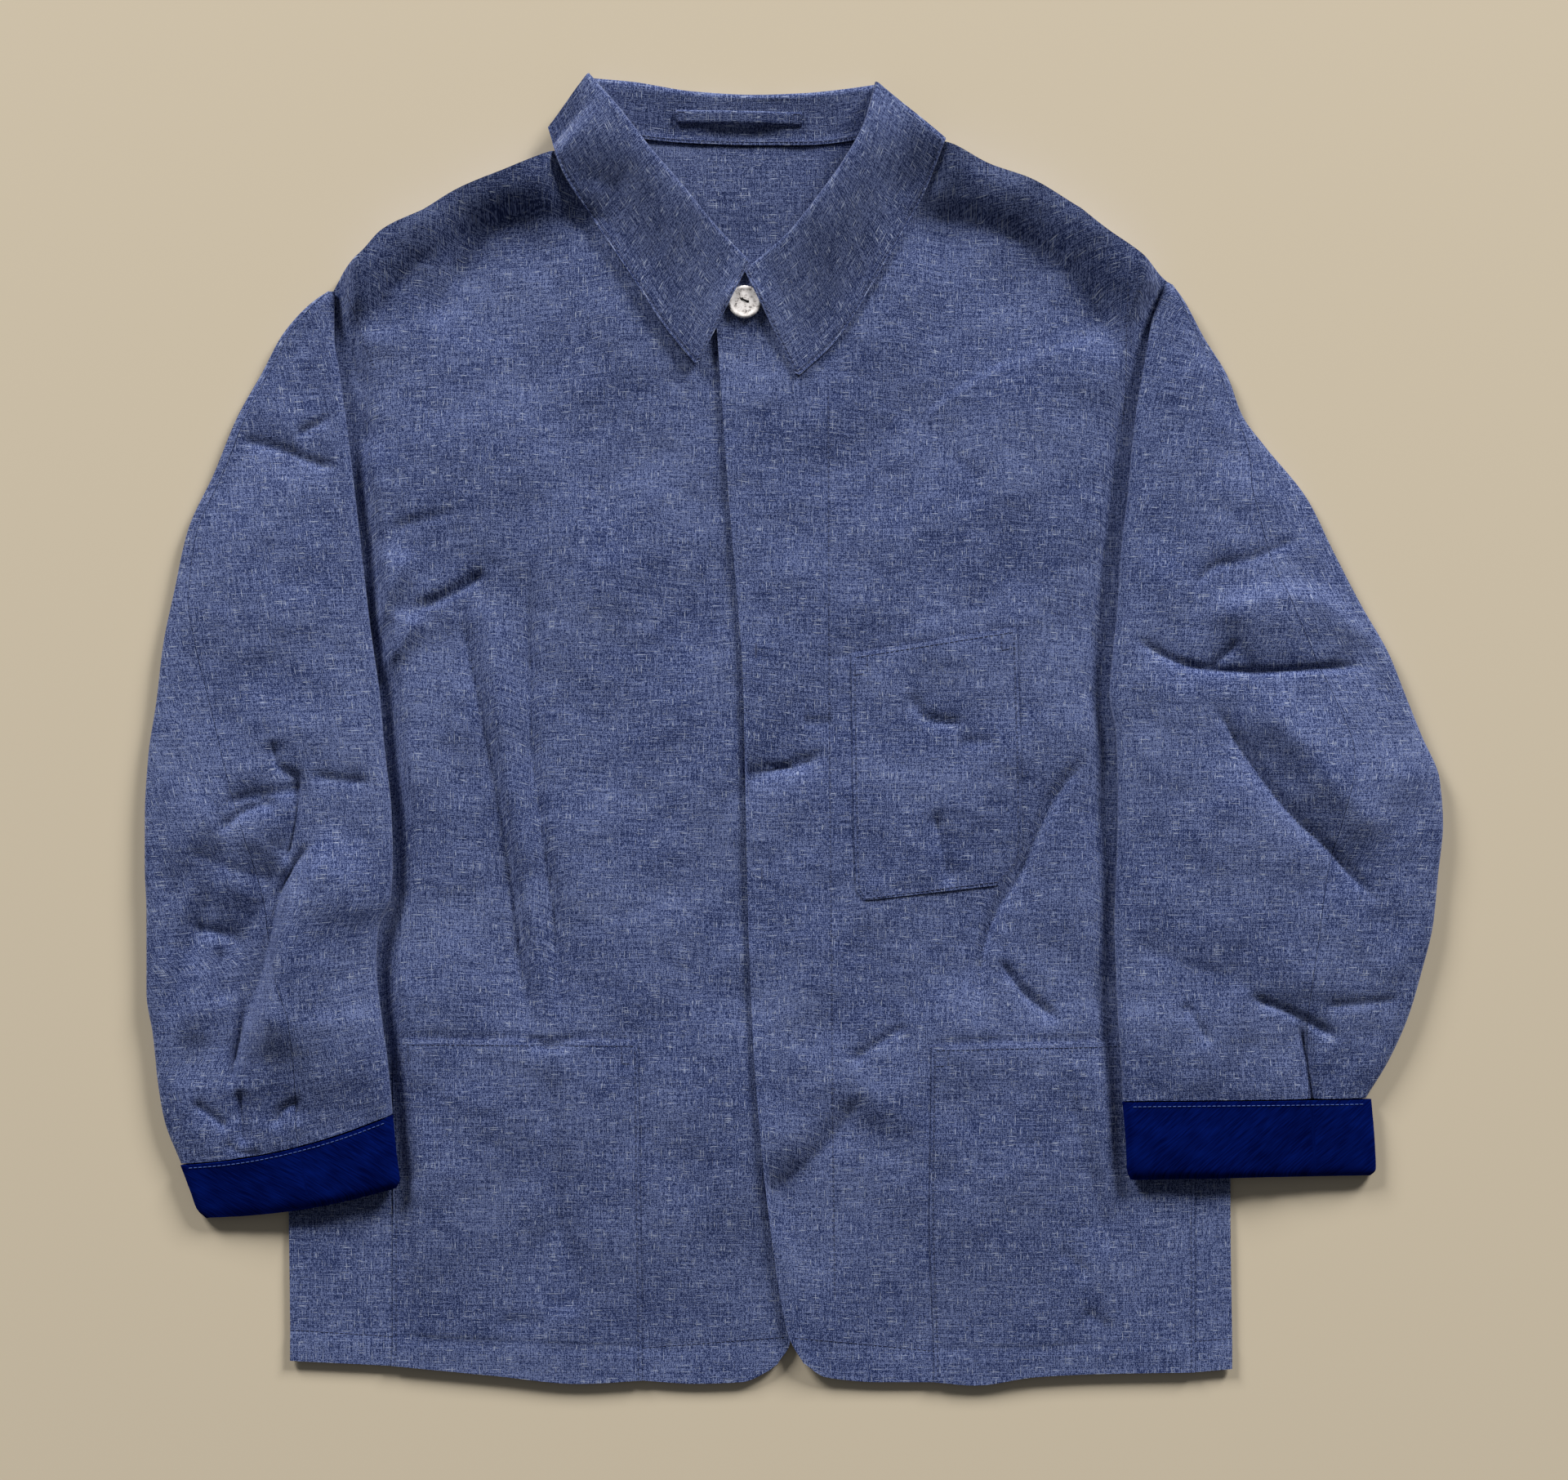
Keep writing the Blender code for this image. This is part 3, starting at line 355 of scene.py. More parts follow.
# Creases: the line each follows, its rise, its width left of that line and its width right of it.
# Both fronts dip along the front edge.
FRONT_DIP = ((-52, 300), (-46, 232), (-40, 147), (-31, 33), (-28, -106), (-25, -186), (-16, -290))
RIGHT_FRONT_CREASES = (
    # long troughs with a ridge between them, from the chest to the pocket
    (((-208, 92), (-194, 30), (-181, -33), (-172, -93), (-165, -153), (-159, -200)), -2.6, 6, 14),
    (((-186, 97), (-178, 10), (-167, -70), (-157, -130), (-151, -186)), 1.7, 9, 8),
    (((-162, 112), (-160, 0), (-154, -58), (-146, -113), (-143, -188)), -2.4, 6, 15),
    (((-150, -186), (-147, -240), (-143, -303), (-135, -362)), -2.4, 8, 19),
    (((-146, -300), (-141, -330), (-134, -358)), -1.4, 4, 8),
    (((-182, -363), (-165, -361), (-150, -361)), -0.8, 4, 5),
    (((-225, 74), (-216, 23), (-212, -30)), -1.1, 8, 9),
    # pocket mouth, pocket side and hem
    (((-262, -187), (-200, -187), (-150, -188), (-78, -187)), -0.4, 2.5, 2),
    (((-164, -188), (-149, -192), (-132, -189)), -1.1, 4, 3),
    (((-95, -160), (-94, -240), (-93, -320), (-92, -420)), -0.35, 2.5, 2.5),
    (((-390, -367), (-245, -371), (-93, -378), (60, -370)), -0.4, 2.5, 2.5),
    # dip along the front edge
    (FRONT_DIP, -0.6, 40, 34),
    # underarm
    (((-234, 112), (-245, 84), (-262, 50)), 2.0, 3.5, 15),
    (((-228, 72), (-238, 54), (-258, 34)), 1.8, 3.0, 14),
    (((-186, 98), (-208, 85), (-234, 73)), -2.0, 8, 4),
    (((-250, 122), (-222, 130), (-200, 134)), -0.9, 5, 6),
    # shoulder and armhole
    (((-150, 326), (-184, 306), (-208, 276), (-226, 238)), -2.6, 20, 11),
    (((-196, 302), (-222, 290), (-246, 270), (-262, 240)), -2.2, 16, 9),
    (((-220, 296), (-172, 312), (-138, 314), (-100, 308)), -3.0, 14, 24),
    (((-264, 266), (-268, 236), (-262, 204), (-260, 160)), -3.0, 9, 10),
)
LEFT_FRONT_CREASES = (
    # pocket mouth, pocket side and hem
    (((60, -191), (120, -189), (180, -188), (268, -187)), -0.4, 2.5, 2),
    (((12, 43), (35, 47), (86, 55), (136, 63), (158, 66)), -0.3, 2.5, 2),
    (((84, -160), (84, -240), (85, -320), (86, -420)), -0.35, 2.5, 2.5),
    (((-90, -372), (86, -380), (245, -374), (400, -371)), -0.4, 2.5, 2.5),
    # front edge, chest pocket and waist
    (FRONT_DIP, -0.6, 52, 34),
    (((-70, -36), (-26, -26), (-2, -22), (24, -12)), -2.8, 11, 4),
    (((4, 5), (14, 5), (26, 6)), -0.8, 3.5, 5),
    (((70, 24), (82, 7), (106, 4)), -1.6, 7, 4),
    (((100, -7), (110, -7), (122, -6)), -0.8, 4, 3),
    (((85, -46), (91, -72), (96, -98)), -1.8, 6, 5),
    (((184, -10), (160, -38), (146, -67), (134, -92), (120, -116), (114, -142), (111, -190)), -3.0, 6, 20),
    (((108, -156), (140, -162), (170, -164), (206, -160)), -1.5, 60, 24),
    (((124, -138), (143, -162), (164, -178)), -1.6, 5, 4),
    (((72, -178), (52, -190), (32, -204)), -1.2, 5, 8),
    (((44, -218), (22, -248), (-2, -272), (-30, -290)), -2.6, 20, 8),
    (((166, -205), (172, -238), (185, -284), (193, -325)), -1.8, 8, 14),
    (((160, -316), (172, -325), (182, -334)), -0.8, 4, 5),
    (((176, -353), (187, -361), (198, -370)), -0.8, 4, 5),
    # shoulder, chest and sleeve valley
    (((56, 204), (89, 178), (124, 138)), -1.1, 18, 18),
    (((54, 312), (92, 314), (128, 305), (166, 282), (190, 252), (200, 216)), -4.3, 12, 28),
    (((222, 262), (210, 222), (201, 166), (194, 110), (188, 40), (190, -30), (188, -110)), -2.8, 9, 14),
)
SLEEVE_RIGHT_CREASES = (
    (((-286, -62), (-300, -76), (-311, -94), (-319, -116), (-326, -146), (-336, -176), (-342, -206),
      (-344, -228)), -5.4, 4, 24),
    (((-376, -116), (-352, -124), (-336, -130), (-310, -134)), -4.6, 38, 20),
    (((-372, -72), (-348, -82), (-330, -88), (-308, -90)), -2.0, 18, 10),
    (((-296, -28), (-306, -36), (-332, -40), (-350, -46)), -1.4, 5, 10),
    (((-272, -56), (-290, -88), (-304, -122), (-314, -160), (-324, -206)), 3.4, 22, 10),
    (((-334, -70), (-350, -104), (-359, -146), (-366, -200)), 2.6, 11, 15),
    (((-318, -4), (-314, -21), (-296, -30)), -1.6, 7, 4),
    (((-300, -26), (-280, -29), (-262, -31), (-236, -32)), -1.3, 5, 7),
    (((-300, -22), (-303, -50), (-310, -84)), -2.8, 5, 9),
    (((-352, -62), (-330, -47), (-312, -43)), -1.8, 9, 4),
    (((-338, -216), (-336, -238), (-335, -256)), -2.0, 6, 6),
    (((-348, -250), (-337, -257), (-322, -258)), -0.9, 4, 3),
    (((-318, -244), (-311, -230), (-303, -226), (-302, -242)), -1.4, 4, 4),
    (((-368, -226), (-356, -234), (-344, -244)), -1.4, 6, 4),
    (((-368, -120), (-352, -123), (-336, -125)), -0.7, 6, 4),
    (((-351, -130), (-351, -148), (-350, -168)), -1.2, 6, 5),
    (((-306, 179), (-290, 187), (-272, 196)), -1.4, 5, 9),
    (((-346, 180), (-313, 172), (-290, 163), (-266, 160)), -1.8, 6, 14),
)
SLEEVE_LEFT_CREASES = (
    (((200, 62), (228, 44), (254, 37), (287, 36), (317, 38), (356, 40)), -3.1, 24, 5),
    (((272, 56), (262, 46), (250, 36)), -1.2, 3, 5),
    (((250, 62), (272, 74), (298, 80), (318, 77), (336, 68), (356, 50)), 2.4, 10, 14),
    (((240, 82), (256, 100), (279, 105), (312, 119)), -1.2, 9, 4),
    (((252, 20), (270, -6), (289, -34), (306, -54), (326, -72), (340, -88), (358, -108)), -3.1, 11, 6),
    (((276, 26), (300, 2), (322, -24), (344, -48), (366, -70)), 2.2, 16, 8),
    (((274, -160), (291, -167), (310, -175), (334, -189)), -2.0, 6, 10),
    (((318, -168), (346, -166), (376, -163)), -0.9, 5, 6),
    (((200, -126), (239, -142), (264, -150), (282, -160)), -0.8, 9, 10),
    (((236, -164), (245, -177), (254, -192)), -1.0, 4, 4),
    (((308, -174), (314, -203), (319, -244)), -2.8, 3, 6),
)
COLLAR_CREASES = (
    (((22, 330), (30, 333), (37, 330)), -0.8, 5, 6),
    (((-10, 298), (2, 295), (16, 288)), -1.0, 6, 7),
    (((-26, 277), (-20, 279), (-12, 278)), -0.8, 4, 4),
    (((-92, 322), (-81, 316), (-70, 312)), -0.8, 7, 8),
    (((-64, 305), (-56, 299), (-50, 291)), -0.9, 6, 7),
)

# Collar falls: roll edge, outer edge, width of the stand under the roll and height of the roll,
# from back to front.
FALL_RIGHT = (
    ((-125, 400), (-150, 368), 18, 16.0),
    ((-106, 378), (-141, 341), 22, 24.0),
    ((-86, 352), (-122, 311), 24, 26.5),
    ((-67, 330), (-101, 280), 20, 25.5),
    ((-47, 306), (-78, 245), 13, 18.5),
    ((-26.9, 285.3), (-59, 222), 7, 12.0),
)
FALL_LEFT = (
    ((50, 395), (92, 359), 18, 16.0),
    ((43, 370), (81, 331), 22, 24.0),
    ((31, 347), (65, 301), 24, 26.5),
    ((16, 326), (45, 267), 20, 25.5),
    ((-2, 304), (27, 239), 13, 19.5),
    ((-29.8, 279.5), (2, 215), 7, 12.5),
)
FALLS = (("right", FALL_RIGHT), ("left", FALL_LEFT))
# Back of the collar: neck seam, roll edge and outer edge of the fall that lies underneath.
COLLAR_BACK = (
    ((-106, 368), (-122, 398), (-145, 371)),
    ((-92, 362), (-99, 396), (-112, 352)),
    ((-60, 359), (-61, 390), (-66, 340)),
    ((-25, 358), (-25, 388), (-27, 336)),
    ((6, 358), (6, 389), (12, 339)),
    ((36, 361), (35, 392), (50, 348)),
    ((50, 366), (49, 394), (86, 361)),
)
FALL_ROWS = 90
FALL_POINTS = 46
STAND_POINTS = 8
ROLL_POINTS = 9
BACK_BAND_ROWS = 80
BACK_BAND_POINTS = 24

# Hanger loop on the inside of the collar's back.
LOOP_ENDS = ((-72.0, 375.0), (5.0, 373.5))
LOOP_WIDTH = 8.0
LOOP_ARCH = 1.6
LOOP_TACK = 5.5
LOOP_THICK = 1.5
LOOP_EDGE = 0.8
LOOP_SHAPE = (60, 13)
LOOP_FLAT = 0.12
LOOP_RUN = 0.2
LOOP_EDGE_POWER = 6


def ramp(value, start, run):
    """Rise smoothly from 0 at start to 1 at start + run."""
    t = np.clip((np.asarray(value, float) - start) / run, 0.0, 1.0)
    return t * t * (3.0 - 2.0 * t)


def through(marks, values, at):
    """Curve through the values at the marks that never overshoots them."""
    marks = np.asarray(marks, float)
    values = np.asarray(values, float)
    gaps = np.diff(marks).reshape((-1,) + (1,) * (values.ndim - 1))
    slopes = np.diff(values, axis=0) / gaps
    tangents = np.empty_like(values)
    tangents[0], tangents[-1] = slopes[0], slopes[-1]
    before, after = slopes[:-1], slopes[1:]
    same = before * after > 0
    total = np.where(same, before + after, 1.0)
    tangents[1:-1] = np.where(same, 2.0 * before * after / total, 0.0)
    at = np.clip(np.asarray(at, float), marks[0], marks[-1])
    cell = np.clip(np.searchsorted(marks, at, side="right") - 1, 0, len(marks) - 2)
    gap = gaps[cell]
    t = ((at - marks[cell]) / (marks[cell + 1] - marks[cell])).reshape(gap.shape)
    return (
        values[cell] * (2 * t**3 - 3 * t**2 + 1)
        + tangents[cell] * gap * (t**3 - 2 * t**2 + t)
        + values[cell + 1] * (3 * t**2 - 2 * t**3)
        + tangents[cell + 1] * gap * (t**3 - t**2)
    )


def run_along(points):
    """Length along a line from its first point to each of its points."""
    return np.concatenate(([0.0], np.cumsum(np.linalg.norm(np.diff(points, axis=0), axis=1))))


def along(points, steps):
    """Points at even spacing along a smooth line."""
    points = np.asarray(points, float)
    marks = run_along(points)
    return through(marks, points, np.linspace(0.0, marks[-1], steps + 1))


def resampled(table, count):
    """A number of rows at even steps along the smooth curve through a table's rows."""
    return through(np.arange(len(table)), table, np.linspace(0, len(table) - 1, count))


def facing_of(sections):
    """Way in which sections run from their first edge to their second: 1 along X, -1 against it."""
    return np.sign(sections[0][1][0] - sections[0][0][0])


def at_height(plan, z):
    """Points of a plan at given heights."""
    return np.concatenate((plan, z[..., None]), axis=-1)


def edge_curve(rows, column):
    """Y and X of one line of a panel, sorted by Y."""
    points = np.array(sorted((row[column] for row in rows), key=lambda p: p[1]), float)
    return points[:, 1], points[:, 0]


RIGHT_INNER = edge_curve(SLEEVE_RIGHT + CUFF_RIGHT, 0)
LEFT_INNER = edge_curve(SLEEVE_LEFT + CUFF_LEFT, 0)
RIGHT_SIDE = edge_curve(FRONT_RIGHT_ROWS, 1)
LEFT_SIDE = edge_curve(FRONT_LEFT_ROWS, 4)
RIGHT_EDGE = edge_curve(FRONT_RIGHT_ROWS, 4)
LEFT_EDGE = edge_curve(FRONT_LEFT_ROWS, 1)
# Sleeves: side, sections, sections of the cuff, side of the body and pocket under it, creases.
SLEEVES = (
    ("right", SLEEVE_RIGHT, CUFF_RIGHT, RIGHT_SIDE, RIGHT_POCKET, SLEEVE_RIGHT_CREASES),
    ("left", SLEEVE_LEFT, CUFF_LEFT, LEFT_SIDE, LEFT_POCKET, SLEEVE_LEFT_CREASES),
)


def creases_at(x, y, creases):
    """Height that the listed creases add: troughs with a sharp floor, rounded ridges, uneven sides."""
    total = np.zeros_like(x)
    for points, rise, left, right in creases:
        line = along(points, CREASE_STEPS)
        reach = CREASE_REACH * (1.0 + LIT_EASE) * max(left, right)
        low, high = line.min(axis=0) - reach, line.max(axis=0) + reach
        near = (x > low[0]) & (x < high[0]) & (y > low[1]) & (y < high[1])
        spots = np.stack((x[near], y[near]), axis=-1)[:, None]
        step = np.diff(line, axis=0)
        share = np.clip(((spots - line[:-1]) * step).sum(-1) / (step**2).sum(-1), 0.0, 1.0)
        gap = spots - line[:-1] - share[..., None] * step
        far = (gap**2).sum(-1)
        best = far.argmin(axis=1)
        pick = (np.arange(len(best)), best)
        side = step[best, 0] * gap[pick][:, 1] - step[best, 1] * gap[pick][:, 0]
        t = (best + share[pick]) / CREASE_STEPS
        fade = ramp(t, 0.0, CREASE_END) * ramp(1.0 - t, 0.0, CREASE_END)
        south = np.clip(-gap[pick][:, 1] / np.sqrt(far[pick] + 1e-9), 0.0, 1.0)
        width = np.where(side > 0.0, left, right) * (1.0 + LIT_EASE * south)
        power = TROUGH_POWER if rise < 0.0 else RIDGE_POWER
        core = CORE_SHARE if rise < 0.0 and min(left, right) < CORE_LIMIT else 0.0
        shape = (1.0 - core) * np.exp(-((far[pick] / width**2) ** power))
        shape += core * np.exp(-far[pick] / CORE_WIDTH**2)
        total[near] += CREASE_GAIN * rise * fade * shape
    return total


def ripple(x, y, seed, length, count=24):
    """Gentle unevenness of laid cloth: seeded waves of about one length in all directions."""
    draw = np.random.default_rng(seed)
    total = np.zeros_like(x)
    for _ in range(count):
        turn, share, shift = draw.uniform((0.0, 0.7, 0.0), (2 * pi, 1.6, 2 * pi))
        total += np.sin(2 * pi * (x * cos(turn) + y * sin(turn)) / (length * share) + shift)
    return total / sqrt(count / 2)


def unevenness(x, y, seed):
    """Broad and small waves that keep the cloth from lying dead flat."""
    return sum(size * ripple(x, y, seed + k, length) for k, (size, length) in enumerate(WAVES))


def back_foot(x, y):
    """Underside of the back panel, lifted at the neck by the collar under it."""
    near = 1.0 - ramp(np.abs(x - NECK_X), NECK_REACH, NECK_FADE)
    return COLLAR_LIFT * near * ramp(y, NECK_Y, NECK_RUN)


def front_foot(x, y):
    """Underside of the front panels: flat under the sleeves, lofted and creased where they show."""
    inside = np.minimum(x - np.interp(y, *RIGHT_INNER), np.interp(y, *LEFT_INNER) - x)
    below = np.interp(x, *zip(*SHOULDER)) + SHOULDER_OUT - y
    by_neck = 1.0 - ramp(np.abs(x - NECK_X), COLLAR_REACH, COLLAR_FADE)
    edges = ramp(below, 0.0, SHOULDER_RUN + COLLAR_EASE * by_neck) * ramp(y, HEM_Y, HEM_RUN)
    free = ramp(inside, LOFT_START, LOFT_RUN) * edges
    shown = ramp(inside, CREASE_START, CREASE_RUN)
    on_left = ramp(x - np.interp(y, *LEFT_EDGE), 0.0, LEFT_BLEND)
    relief = creases_at(x, y, RIGHT_FRONT_CREASES) * (1.0 - on_left)
    relief = relief + creases_at(x, y, LEFT_FRONT_CREASES) * on_left
    fold = SHOULDER_FOLD * np.exp(-((below / SHOULDER_SLOPE) ** 2)) * (1.0 - by_neck)
    air = (LOFT + fold + unevenness(x, y, BODY_SEED)) * free + relief * shown
    return back_foot(x, y) + CLOTH + SEAM + np.maximum(air, 0.0)


def lap_foot(x, y):
    """Underside of the left front, which laps over the edge of the right front."""
    past = x - np.interp(y, *RIGHT_EDGE)
    roll = EDGE_ROLL * (1.0 - ramp(x - np.interp(y, *LEFT_EDGE), 0.0, EDGE_ROLL_RUN))
    return front_foot(x, y) + (CLOTH + LAP_CLEAR) * (1.0 - ramp(past, LAP_START, LAP_RUN)) + roll


def grid_quads(rows, columns, closed=False):
    """Corner numbers of the faces of a grid of points."""
    at = np.arange(rows * columns).reshape(rows, columns)
    if closed:
        at = np.concatenate((at, at[:, :1]), axis=1)
    return np.stack((at[:-1, :-1], at[:-1, 1:], at[1:, 1:], at[1:, :-1]), axis=-1).reshape(-1, 4)


def wall(top, foot):
    """Closed sheet between two grids of points of the same shape."""
    rows, columns = top.shape[:2]
    count = rows * columns
    at = np.arange(count).reshape(rows, columns)
    rim = np.concatenate((at[0, :-1], at[:-1, -1], at[-1, :0:-1], at[:0:-1, 0]))
    ahead = np.roll(rim, -1)
    faces = grid_quads(rows, columns)
    edge = np.stack((ahead, rim, rim + count, ahead + count), axis=-1)
    points = np.concatenate((top.reshape(-1, 3), foot.reshape(-1, 3)))
    return points, np.concatenate((faces, faces[:, ::-1] + count, edge))


def band(outside, inside):
    """Closed ring between two grids whose last column joins their first."""
    rows, columns = outside.shape[:2]
    count = rows * columns
    faces = grid_quads(rows, columns, closed=True)
    at = np.arange(columns)
    ahead = np.roll(at, -1)
    last = (rows - 1) * columns
    start = np.stack((ahead, at, at + count, ahead + count), axis=-1)
    end = np.stack((last + at, last + ahead, last + ahead + count, last + at + count), axis=-1)
    points = np.concatenate((outside.reshape(-1, 3), inside.reshape(-1, 3)))
    return points, np.concatenate((faces, faces[:, ::-1] + count, start, end))


def thickened(middle, thick, closed=False):
    """Grids on both sides of a middle surface, half the wall away along its normals."""
    if closed:
        padded = np.concatenate((middle[:, -1:], middle, middle[:, :1]), axis=1)
        across = (padded[:, 2:] - padded[:, :-2]) / 2.0
    else:
        across = np.gradient(middle, axis=1)
    normal = np.cross(across, np.gradient(middle, axis=0))
    normal /= np.linalg.norm(normal, axis=2, keepdims=True)
    return middle + normal * thick / 2.0, middle - normal * thick / 2.0


def run_across(grid):
    """Length along the cloth from the first column of a grid to each of its points."""
    steps = np.linalg.norm(np.diff(grid, axis=1), axis=2)
    return np.concatenate((np.zeros((len(grid), 1)), np.cumsum(steps, axis=1)), axis=1)


def volume(points, quads):
    """Signed volume inside closed faces."""
    a, b, c, d = (points[quads[:, k]] for k in range(4))
    return (np.cross(b - a, c - a) * a).sum() + (np.cross(c - a, d - a) * a).sum()


def make(name, points, quads, grain, material):
    """Smooth object from points in millimetres; grain is each point's place on the cloth."""
    points = np.asarray(points, float)
    if volume(points, quads) < 0.0:
        quads = quads[:, ::-1]
    mesh = bpy.data.meshes.new(name)
    mesh.vertices.add(len(points))
    mesh.vertices.foreach_set("co", (points * MM).ravel())
    mesh.loops.add(quads.size)
    mesh.loops.foreach_set("vertex_index", quads.ravel().astype(np.int32))
    mesh.polygons.add(len(quads))
    mesh.polygons.foreach_set("loop_start", np.arange(0, quads.size, 4, dtype=np.int32))
    mesh.polygons.foreach_set("use_smooth", np.ones(len(quads), bool))
    layer = mesh.uv_layers.new(name="grain")
    layer.uv.foreach_set("vector", (np.asarray(grain, float)[quads.ravel()] * MM).ravel())
    mesh.update(calc_edges=True)
    mesh.validate()
    mesh.set_sharp_from_angle(angle=SHARP_ANGLE)
    mesh.materials.append(material)
    piece = bpy.data.objects.new(name, mesh)
    bpy.context.scene.collection.objects.link(piece)
    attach(piece, "root")
    return piece


def sheet_of(name, top, foot, grain, material):
    """Closed sheet with the same grain on both faces."""
    return make(name, *wall(top, foot), np.tile(grain.reshape(-1, 2), (2, 1)), material)


def panel_plan(rows, lines, bends, spacing):
    """Plan of a panel lofted through its sections, and the index of each named section and line."""
    table = np.array([row[1:] for row in rows], float)
    across = np.linalg.norm(np.diff(table, axis=1), axis=2).max(axis=0)
    up = np.linalg.norm(np.diff(table, axis=0), axis=2).mean(axis=1)
    steps = np.maximum(np.round(across / spacing).astype(int), 2)
    ups = np.maximum(np.round(up / spacing).astype(int), 2)
    sections = []
    for name, *points in rows:
        section = [points[0]]
        for i, line in enumerate(lines[:-1]):
            bend = bends.get((name, line), ())
            section.extend(along((points[i], *bend, points[i + 1]), steps[i])[1:])
        sections.append(section)
    marks = np.concatenate([k + np.arange(n) / n for k, n in enumerate(ups)] + [[len(rows) - 1]])
    row_index = dict(zip((row[0] for row in rows), np.concatenate(([0], np.cumsum(ups)))))
    line_index = dict(zip(lines, np.concatenate(([0], np.cumsum(steps)))))
    return through(np.arange(len(rows)), np.array(sections, float), marks), row_index, line_index


def body_grain(top):
    """Grain of a front panel: its plan, with steep stretches drawn out by their height."""
    return np.stack((top[..., 0], top[..., 1] - top[..., 2]), axis=-1)


def lay_top(top, foot):
    """Bring the top edge of a front panel down onto the back panel."""
    foot[-1, :, 2] = back_foot(foot[-1, :, 0], foot[-1, :, 1]) + CLOTH + SEAM
    top[-1, :, 2] = foot[-1, :, 2] + CLOTH


def with_upright_top(plan):
    """Plan whose last row but one is drawn up to the top edge, so that the edge stands upright."""
    drawn = plan.copy()
    drawn[-2] = plan[-1] + SHOULDER_ROW * (plan[-3] - plan[-1])
    return drawn


def raised(plan, foot, thick):
    """Top and underside grids of a sheet that lies on a height."""
    under = at_height(plan, foot(plan[..., 0], plan[..., 1]))
    return under + np.array((0.0, 0.0, thick)), under


def patch(name, grid, material):
    """Pocket on a panel: its points moved out, pressed flat along the sewn edges."""
    rows, columns = grid.shape[:2]
    i, j = np.meshgrid(np.arange(rows), np.arange(columns), indexing="ij")
    from_edge = np.minimum(np.minimum(j, columns - 1 - j), i) * MESH_STEP
    loft = PATCH_LOFT * ramp(from_edge, PATCH_LOFT_START, PATCH_LOFT_RUN)
    under = grid + np.array((0.0, 0.0, PATCH_GAP))
    top = under + np.array((0.0, 0.0, PATCH_CLOTH))
    top[..., 2] += loft
    under[..., 2] += loft * PATCH_LOFT_UNDER
    return sheet_of(name, top, under, grid[..., :2] + np.array(PATCH_GRAIN), material)


def cover(x, y, pocket):
    """Height that clears the body under a sleeve."""
    west, east, top = pocket
    over = ramp(x, west - POCKET_NEAR - POCKET_RUN, POCKET_RUN)
    over = over * (1.0 - ramp(x, east + POCKET_NEAR, POCKET_RUN))
    step = POCKET_STEP * over * (1.0 - ramp(y, top + POCKET_NEAR, POCKET_RUN))
    return front_foot(x, y) + CLOTH + CLEAR + step


